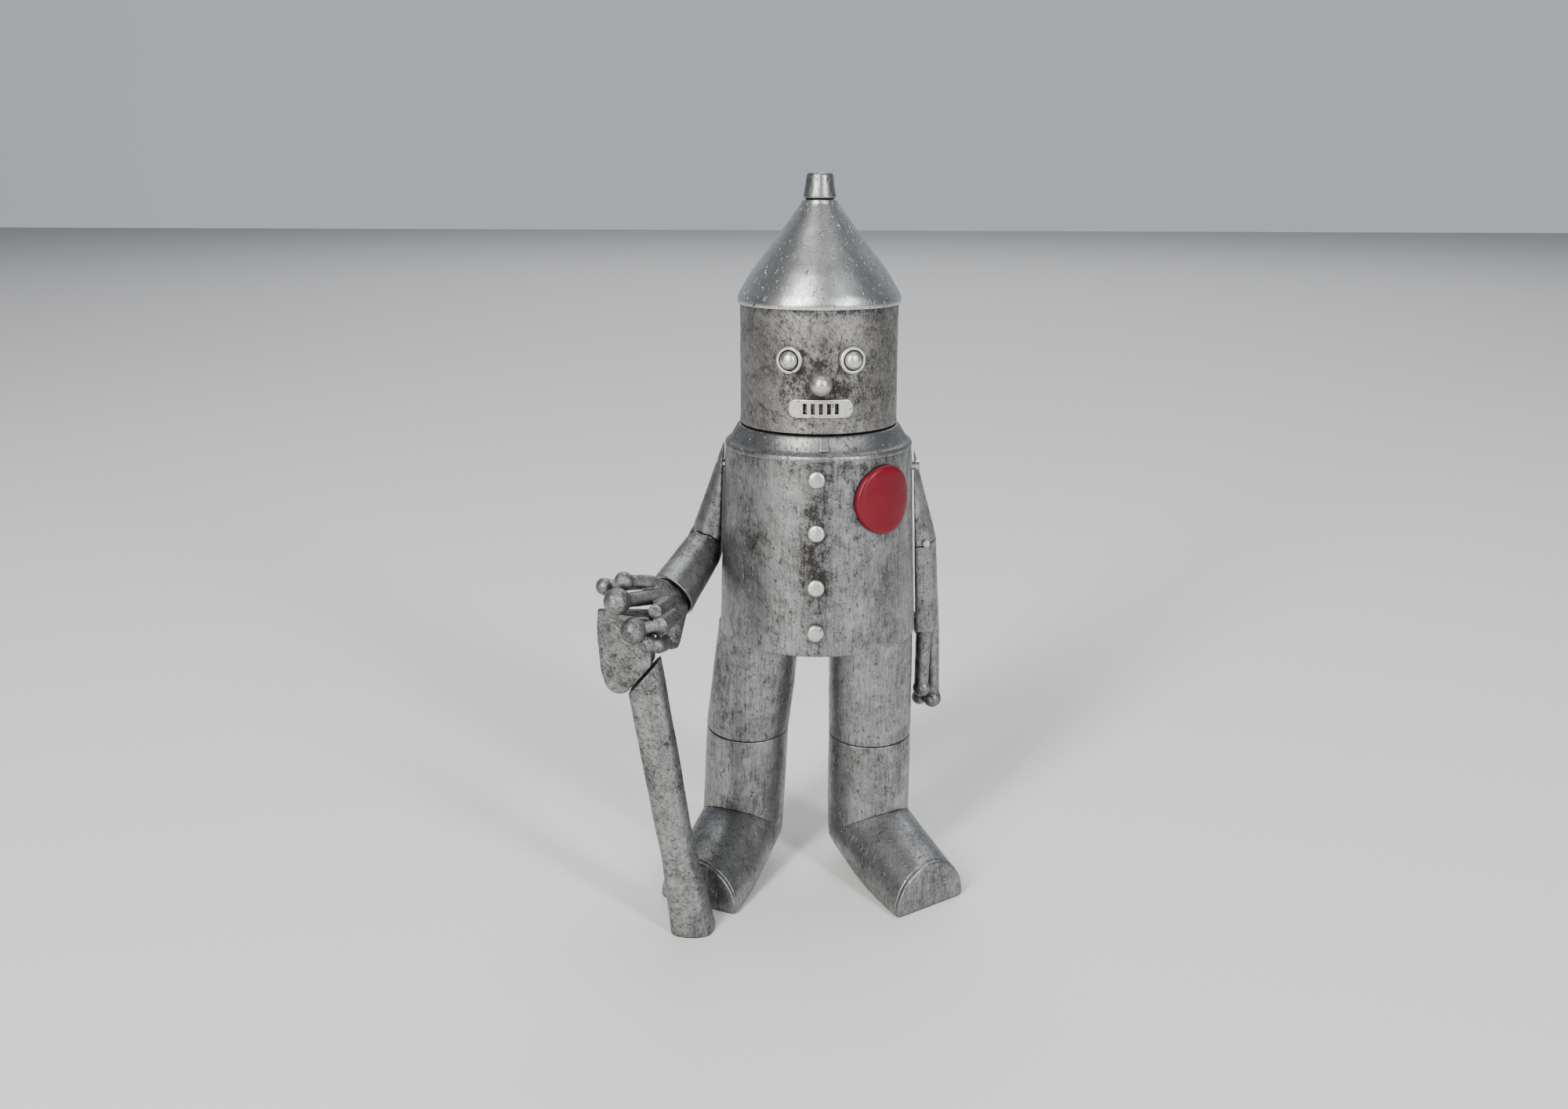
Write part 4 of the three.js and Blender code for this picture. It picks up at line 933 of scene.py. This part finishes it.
def make_face():
    """A plain robot face: lens eyes in stepped bezels, a dome nose and a slotted mouth plate."""
    bezel = [
        (0, -1.4), (1.3, -1.4), (1.3, -0.4), (4.05, -0.4), (4.1, 0.7), (4.0, 1.0), (3.8, 1.16), (3.5, 1.2),
        (3.15, 1.16), (3.0, 1.0), (2.92, 0.75), (2.85, 0.7), (2.8, 0.85), (2.72, 1.3), (2.45, 1.95),
        (2.05, 2.4), (1.5, 2.75), (0.8, 2.95), (0, 3.0),
    ]
    nose = [
        (0, -1.4), (1.3, -1.4), (1.3, -0.4), (3.45, -0.4), (3.5, 0.4), (3.4, 1.2), (3.15, 2.1), (2.75, 2.9),
        (2.2, 3.6), (1.5, 4.1), (0.8, 4.4), (0, 4.5),
    ]
    for name, angle, z, profile in (
        ("eye_right", -EYE_ANGLE, EYE_Z, bezel),
        ("eye_left", EYE_ANGLE, EYE_Z, bezel),
        ("nose", 0.0, NOSE_Z, nose),
    ):
        origin, outward = on_head(angle, z)
        points, faces = turned_on(origin + outward * GAP, outward, profile, sides=64)
        make_piece(f"{name}_turned", points, faces, "head", "rivet", [name], smooth=28)

    mouth = Lump()
    steps = 30
    radius = HEAD_R + GAP
    half = MOUTH_WIDTH / 2
    corner = 2.0

    def height_at(x):
        over = max(abs(x) - (half - corner), 0)
        return MOUTH_HEIGHT / 2 - (corner - math.sqrt(max(corner**2 - over**2, 0)))

    rows = []
    for i in range(steps + 1):
        x = half * math.sin(math.pi / 2 * (2 * i / steps - 1))
        tall = max(height_at(x), 0.4)
        angle = math.asin(x / (radius + 0.8)) + HEAD_TURN
        rows.append(
            [
                around(angle, radius + depth, MOUTH_Z + side * tall)
                for side, depth in ((-1, -0.1), (1, -0.1), (1, 0.85), (-1, 0.85))
            ]
        )
    points = np.array(rows).reshape(-1, 3)
    faces = loop_faces(steps + 1, 4)
    faces += [(3, 2, 1, 0), tuple(steps * 4 + k for k in range(4))]
    for p in points:
        mouth.shape.verts.new(placed(p))
    mouth.shape.verts.ensure_lookup_table()
    for f in faces:
        mouth.shape.faces.new([mouth.shape.verts[n] for n in f])
    piece = mouth.finish("mouth_grille", voxel=0.16, smooth=3)
    slots = bmesh.new()
    for i in range(-2, 3):
        angle = 2.3 * i / radius + HEAD_TURN
        place = Matrix.Translation(Vector(placed(around(angle, radius + 0.5, MOUTH_Z))))
        place = place @ Matrix.Rotation(angle, 4, "Z")
        bmesh.ops.create_cube(
            slots, size=1, matrix=place @ Matrix.Diagonal((1.2 * MM, 4 * MM, (MOUTH_HEIGHT - 2.2) * MM, 1))
        )
    carve(piece, slots)
    dress(piece, "head", "rivet", ["mouth_plate"], smooth=30)


def carve(piece, cutter_shape):
    """Cuts closed shapes out of a piece."""
    mesh = bpy.data.meshes.new("cutter")
    bmesh.ops.recalc_face_normals(cutter_shape, faces=cutter_shape.faces)
    cutter_shape.to_mesh(mesh)
    cutter_shape.free()
    cutter = bpy.data.objects.new("cutter", mesh)
    bpy.context.scene.collection.objects.link(cutter)
    cut = piece.modifiers.new("cut", "BOOLEAN")
    cut.operation = "DIFFERENCE"
    cut.solver = "EXACT"
    cut.object = cutter
    bake_modifiers(piece)
    bpy.data.objects.remove(cutter)


# ---------------------------------------------------------------- legs
def rounded_heel(points, ankle, normal, heel):
    """Pulls the outer corner of the ankle's bend in, so that the pipe turns smoothly round the heel."""
    reach, cut = 11.0, 3.0
    outward = np.clip((points - ankle) @ heel / (LEG_R * 1.2), 0, 1)
    near = np.clip(1 - np.abs((points - ankle) @ normal) / reach, 0, 1)
    return points - (cut * outward**1.5 * near**2)[:, None] * heel


def make_leg(side, shape):
    hip = vec(shape["hip"], LEG_Y, LEG_TOP_Z)
    knee, knee_normal = shape["knee"], unit(shape["knee_normal"])
    ankle = vec(shape["ankle"], LEG_Y, ANKLE_Z)
    splay = math.radians(shape["splay"])
    forward = unit(around(splay, math.cos(FOOT_SLOPE), -math.sin(FOOT_SLOPE)))
    ankle_normal = unit(unit(ankle - knee) + forward)
    toe = ankle + forward * FOOT_LENGTH / math.cos(FOOT_SLOPE)
    toe_normal = around(splay + math.radians(shape["skew"]), 1, 0)
    seam, fold = 0.2, 0.04
    floor = (vec(0, 0, 0), vec(0, 0, -1))

    thigh = Tube(hip, knee, LEG_R, (hip, vec(0, 0, 1)), (knee - knee_normal * seam / 2, knee_normal))
    shin = Tube(
        knee,
        ankle,
        LEG_R,
        (knee + knee_normal * seam / 2, knee_normal),
        (ankle - ankle_normal * fold / 2, ankle_normal),
    )
    foot = Tube(
        ankle,
        toe,
        LEG_R,
        (ankle + ankle_normal * fold / 2, ankle_normal),
        (toe - toe_normal * (TOE_CAP + 0.1), toe_normal),
        flat=floor,
        corner=3.0,
    )
    cap = Tube(toe - forward * 6, toe, LEG_R, (toe - toe_normal * TOE_CAP, toe_normal), (toe, toe_normal), flat=floor, corner=3.0)
    seed = 10.0 if side == "left" else 20.0
    heel = unit(unit(ankle - knee) - forward)
    for name, tube, steps, lips, uneven in (
        ("thigh", thigh, 26, (0.7, 0.35), 0.2),
        ("shin", shin, 34, (0.35, 0.12), 0.2),
        ("foot", foot, 40, (0.12, 0.5), 0.14),
        ("toe_cap", cap, 3, (0.2, 0.4), 0.05),
    ):
        seed += 1.3
        points, faces = tube.solid(steps, lips=lips, uneven=uneven, seed=seed)
        if name in ("shin", "foot"):
            points = rounded_heel(points, ankle, ankle_normal, heel)
        if name == "foot":
            points[:, 2] = np.maximum(points[:, 2], 0.02)
        if name == "toe_cap":
            points[:, 2] = np.maximum(points[:, 2], 0.0)
        make_piece(
            f"{name}_{side}_skin", points, faces, "casing", "tin_brushed", [f"{name}_{side}"]
        )


# ---------------------------------------------------------------- arms and hands
def arm_flat(side):
    point = vec(side * (body_radius(AXLE_Z) + 2 * GAP + ARM_CLEARANCE), 0, AXLE_Z)
    normal = vec(-side * math.cos(BODY_TAPER), 0, -math.sin(BODY_TAPER))
    return point, normal


def crumpled(points, centre, amount, point, normal):
    """Dents and lumps near an elbow, fading out with distance and toward the flat side of the arm."""
    out = np.array(points, float)
    for i, p in enumerate(out):
        spread = (p - centre) / vec(7.5, 7.5, 6.0)
        fade = math.exp(-float(spread @ spread))
        fade *= min(max(float((point - p) @ normal) / 3.0, 0.0), 1.0)
        out[i] += amount * fade * np.array(noise.noise_vector(Vector(p) / 2.6))
    return out


def make_arm(name, shape):
    top, elbow, cuff = shape["top"], shape["elbow"], shape["cuff"]
    normal = unit(unit(elbow - top) + unit(cuff - elbow))
    flat = arm_flat(shape["side"])
    body = f"{name}_arm"
    seed = 31.0 if name == "left" else 41.0
    upper = Tube(
        top,
        elbow,
        shape["radius"],
        (vec(0, 0, ARM_TOP_Z), vec(0, 0, 1)),
        (elbow - normal * GAP * 0.3, normal),
        flat=flat,
        corner=0.8,
    )
    points, faces = upper.solid(30, lips=(0.5, 0.3), uneven=0.14, seed=seed)
    points = crumpled(points, elbow, shape["crumple"], *flat)
    piece = make_piece(
        f"upper_arm_{name}_skin", points, faces, body, "tin_brushed", [f"upper_arm_{name}"]
    )
    trim_by_plane(piece, flat[0] - 0.08 * flat[1], flat[1])
    fore = Tube(
        elbow,
        cuff,
        shape["radius"],
        (elbow + normal * GAP * 0.3, normal),
        (cuff, shape["cuff_normal"]),
        flat=flat,
        end_radius=shape["cuff_radius"],
        corner=0.8,
    )
    points, faces = fore.solid(26, lips=(0.3, 0.4), open_ends=(False, True), uneven=0.14, seed=seed + 2)
    points = crumpled(points, elbow, shape["crumple"], *flat)
    make_piece(f"forearm_{name}_skin", points, faces, body, "tin_brushed", [f"forearm_{name}"])

    face = math.sqrt(shape["radius"] ** 2 - max(abs(shape["pin_x"] - elbow[0]) - 1.3, 0) ** 2)
    origin = vec(shape["pin_x"], elbow[1] - face, elbow[2])
    points, faces = turned_on(origin, vec(0, -1, 0), rivet_profile(1.25, 0.6), sides=40)
    make_piece(f"elbow_pin_{name}_head", points, faces, body, "rivet", [f"elbow_pin_{name}"])


def make_right_hand():
    """A fist of thick bars with round ends that leans on the axe."""
    shape = ARMS["right"]
    line = unit(shape["cuff"] - shape["elbow"])
    hand = Lump()
    inner = shape["radius"] - WALL - GAP
    palm = vec(-43.2, -26, 100.5)
    hand.bar(shape["cuff"] - line * 5, palm, inner, 4)
    hand.ball(palm, 4.6)
    hand.bar(palm, vec(-43.6, -36, 92.4), 4.4, 3.4)
    hand.bar(palm, vec(-45, -43.2, 99.4), 3.6, 2.4)
    hand.bar(vec(-43.4, -27.4, 103), vec(-46.6, -42, 104.4), 3, 2.2)
    hand.rod([palm, vec(-44.8, -37.5, 93.2), vec(-45.3, -44.6, 94.8), vec(-47.4, -45.1, 95.4)], [2.6, 2.6, 2.4, 2])
    hand.ball(vec(-48.3, -45.3, 95.6), 2.75)
    hand.rod([vec(-44.6, -25.3, 106.4), vec(-49.5, -31, 110.2), vec(-54.6, -36.4, 112)], [2.3, 2.3, 2.1])
    hand.ball(vec(-56.2, -38, 112.6), 2.9)
    hand.rod([vec(-49.5, -31, 110.2), vec(-60.8, -33, 109.6)], [2, 1.9])
    hand.ball(vec(-62.9, -33.5, 109.4), 2.75)
    hand.rod([vec(-42.9, -25.6, 104.8), vec(-49.6, -35, 106.7), vec(-54.8, -42, 107.9)], [2.4, 2.4, 2.2])
    hand.ball(vec(-57.1, -45, 108.4), 4.1)
    hand.bar(vec(-40.4, -27.6, 100.9), vec(-44.6, -45.2, 101.3), 2.3)
    hand.rod([vec(-44.4, -44.6, 101.3), vec(-50, -46, 100.5)], [1.9, 1.9])
    hand.ball(vec(-52.1, -46.7, 100.1), 4)
    piece = hand.finish("hand_right_cast", voxel=0.28, smooth=4)
    roughen(piece, 0.1, 2.2, seed=1.0)
    dress(piece, "right_arm", "tin_cast", ["hand_right"], smooth=80)


def make_left_hand():
    shape = ARMS["left"]
    line = unit(shape["cuff"] - shape["elbow"])
    hand = Lump()
    inner = shape["radius"] - WALL - GAP - 0.4
    middle = shape["cuff"] + vec(1.0, 0, 0)
    hand.bar(middle - line * 5, middle + line * 1.6, inner - 0.6, inner - 1.2)
    hand.rod([vec(35, 12.4, 82.6), vec(34.8, 12.6, 63.4)], [2.5, 2.3]).ball(vec(34.8, 12.6, 61.8), 2.9)
    hand.rod([vec(37.8, 16.2, 82.6), vec(38.6, 17.6, 58)], [2.5, 2.4]).ball(vec(38.6, 17.6, 56.3), 3.1)
    hand.rod([vec(34.8, 18.4, 82.6), vec(34.4, 20.2, 57.5)], [2.1, 2.0]).ball(vec(34.4, 20.2, 55.6), 2.6)
    piece = hand.finish("hand_left_cast", voxel=0.24, smooth=4)
    roughen(piece, 0.08, 2.2, seed=2.0)
    dress(piece, "left_arm", "tin_cast", ["hand_left"], smooth=80)


# ---------------------------------------------------------------- axe
def make_axe_head():
    outline = [
        (-64.4, 103.6), (-64.75, 99), (-64.75, 93.8), (-64.5, 89.8), (-64.2, 86), (-63.7, 83), (-62.9, 80.4),
        (-61.9, 78.7), (-60.3, 77.6), (-58.5, 77.4), (-57, 77.7), (-55.8, 78.3), (-52, 82.5), (-48.0, 87.1),
        (-48.0, 95), (-48.0, 102.4), (-56, 103.1),
    ]
    middle = (AXE_FRONT_Y + AXE_BACK_Y) / 2
    half = (AXE_BACK_Y - AXE_FRONT_Y) / 2

    def thickness(x):
        share = np.clip((x - AXE_EDGE_X) / (AXE_CHEEK_X - AXE_EDGE_X), 0, 1)
        return 0.9 + (half - 0.9) * share

    head = Lump()
    head.plate(outline, [middle - thickness(x) for x, _ in outline], [middle + thickness(x) for x, _ in outline])
    piece = head.finish("axe_head_cast", voxel=0.28, smooth=8)
    roughen(piece, 0.12, 2.6, seed=4.0)
    dress(piece, "right_arm", "tin_cast", ["axe_head"], smooth=80)


def make_axe_shaft():
    """A rough-hewn shaft: a rounded square section with flats cut along it, wider at the foot."""
    line = unit(AXE_EYE - AXE_FOOT)
    across = unit(np.cross(line, vec(0, 1, 0)))
    forward = np.cross(line, across)
    sides, rows = 72, 90
    points = []
    for i in range(rows):
        t = -2 + 104 * i / (rows - 1)
        foot = np.clip(1 - t / 26, 0, 1) ** 1.4
        neck = np.clip((t - 45) / 35, 0, 1)
        radius = 5.45 + 1.65 * foot + 0.35 * neck
        for k in range(sides):
            a = 2 * math.pi * k / sides
            power = 3.2
            reach = radius * (abs(math.cos(a)) ** power + abs(math.sin(a)) ** power) ** (-1 / power)
            chip = noise.noise(Vector((math.cos(a) * 1.6, math.sin(a) * 1.6, t * 0.045)))
            fine = noise.noise(Vector((math.cos(a) * 4, math.sin(a) * 4, t * 0.12 + 9)))
            reach += 0.45 * chip + 0.16 * fine
            points.append(AXE_FOOT + line * t + reach * (math.cos(a) * across + math.sin(a) * forward) * 0.97)
    points = np.array(points)
    start = points[:sides].mean(0)
    end = points[-sides:].mean(0)
    points = np.vstack([points, start, end])
    faces = loop_faces(rows, sides)
    count = rows * sides
    for k in range(sides):
        n = (k + 1) % sides
        faces.append((count, n, k))
        faces.append((count + 1, count - sides + k, count - sides + n))
    mesh = bpy.data.meshes.new("axe_shaft_cast")
    mesh.from_pydata([tuple(p) for p in placed(points)], [], faces)
    piece = bpy.data.objects.new("axe_shaft_cast", mesh)
    bpy.context.scene.collection.objects.link(piece)
    seat = AXE_SEAT - AXE_SEAT_NORMAL * GAP * 0.5
    trim_by_plane(piece, seat, AXE_SEAT_NORMAL)
    trim_by_plane(piece, vec(0, 0, 0.0), vec(0, 0, -1))
    remesh = piece.modifiers.new("skin", "REMESH")
    remesh.mode = "VOXEL"
    remesh.voxel_size = 0.3 * MM
    soften = piece.modifiers.new("soften", "SMOOTH")
    soften.factor = 0.5
    soften.iterations = 5
    bake_modifiers(piece)
    roughen(piece, 0.09, 1.6, seed=6.0)
    sit_on_floor(piece)
    dress(piece, "right_arm", "tin_cast", ["axe_shaft"], smooth=80)


def trim_by_plane(piece, point, normal):
    """Cuts away what lies on the side that a plane's normal points to, and closes the cut."""
    shape = bmesh.new()
    shape.from_mesh(piece.data)
    made = bmesh.ops.bisect_plane(
        shape,
        geom=shape.verts[:] + shape.edges[:] + shape.faces[:],
        plane_co=Vector(placed(point)),
        plane_no=Vector(normal),
        clear_outer=True,
    )
    edges = [e for e in made["geom_cut"] if isinstance(e, bmesh.types.BMEdge)]
    bmesh.ops.holes_fill(shape, edges=edges)
    shape.to_mesh(piece.data)
    shape.free()


def sit_on_floor(piece):
    mesh = piece.data
    for v in mesh.vertices:
        v.co.z = max(v.co.z, 0.0)


# ---------------------------------------------------------------- key and back
def make_key():
    """A sleeve with two flat round ears, soft at every edge."""
    sleeve = [
        (0, 34.2), (2.6, 34.2), (3.1, 34.3), (3.3, 34.7), (3.35, 35.4), (3.25, 37), (3.2, 39), (3.3, 41),
        (3.0, 42.4), (2.2, 43.2), (0, 43.6),
    ]
    key = Lump()
    points, faces = turned_on(vec(0, 0, KEY_Z), vec(0, 1, 0), sleeve, sides=48)
    start = len(key.shape.verts)
    for p in points:
        key.shape.verts.new(placed(p))
    key.shape.verts.ensure_lookup_table()
    for f in faces:
        key.shape.faces.new([key.shape.verts[start + n] for n in f])
    for side in (-1, 1):
        centre = vec(side * 7.4, 43.2, KEY_Z)
        key.bar(centre - vec(0, 0, 0.95), centre + vec(0, 0, 0.95), 6.2)
    key.block(vec(0, 43.0, KEY_Z), (14, 6.6, 1.9))
    piece = key.finish("winding_key_pressed", voxel=0.22, smooth=3)
    holes = bmesh.new()
    for side in (-1, 1):
        place = Matrix.Translation(Vector(placed(vec(side * 7.4, 43.2, KEY_Z))))
        bmesh.ops.create_cone(
            holes, cap_ends=True, segments=48, radius1=2.8 * MM, radius2=2.8 * MM, depth=8 * MM, matrix=place
        )
    carve(piece, holes)
    dress(piece, "key", "tin_bright", ["winding_key"], smooth=35)


def make_key_bush():
    bush = [(3.35, 30.9), (5.15, 31.0), (5.2, 32.2), (5.05, 32.8), (4.6, 33.15), (3.6, 33.2), (2.5, 33.1), (2.25, 32.7), (2.25, 30.9)]
    sides = 64
    points = []
    for k in range(sides):
        a = 2 * math.pi * k / sides
        points.extend(vec(r * math.cos(a), y, KEY_Z + r * math.sin(a)) for r, y in bush)
    faces = loop_faces(sides, len(bush), wrap_rows=True)
    make_piece("key_bush_turned", points, faces, "casing", "brass", ["key_bush"])


# ---------------------------------------------------------------- CAD pieces that stay
def paint_frame():
    """The movement's own pieces keep their CAD shapes and get worn brass, steel and blued steel."""
    by_slot = {"brass": "brass", "steel": "steel", "blue_spring": "blued_steel", "antique_tin": "tin_brushed"}
    for row in frame["record"]["subparts"]:
        node = frame["nodes"][row["node"]]
        material = by_slot.get(row["material_slot"])
        if material:
            node.data.materials.clear()
            node.data.materials.append(MATERIALS[material])


make_camera()
make_studio()
MATERIALS = make_materials()
paint_frame()
make_torso()
make_collar()
make_buttons()
make_badge()
make_head()
make_face()
for side_name, leg_shape in LEGS.items():
    make_leg(side_name, leg_shape)
for side_name, arm_shape in ARMS.items():
    make_arm(side_name, arm_shape)
make_right_hand()
make_left_hand()
make_axe_head()
make_axe_shaft()
make_key()
make_key_bush()
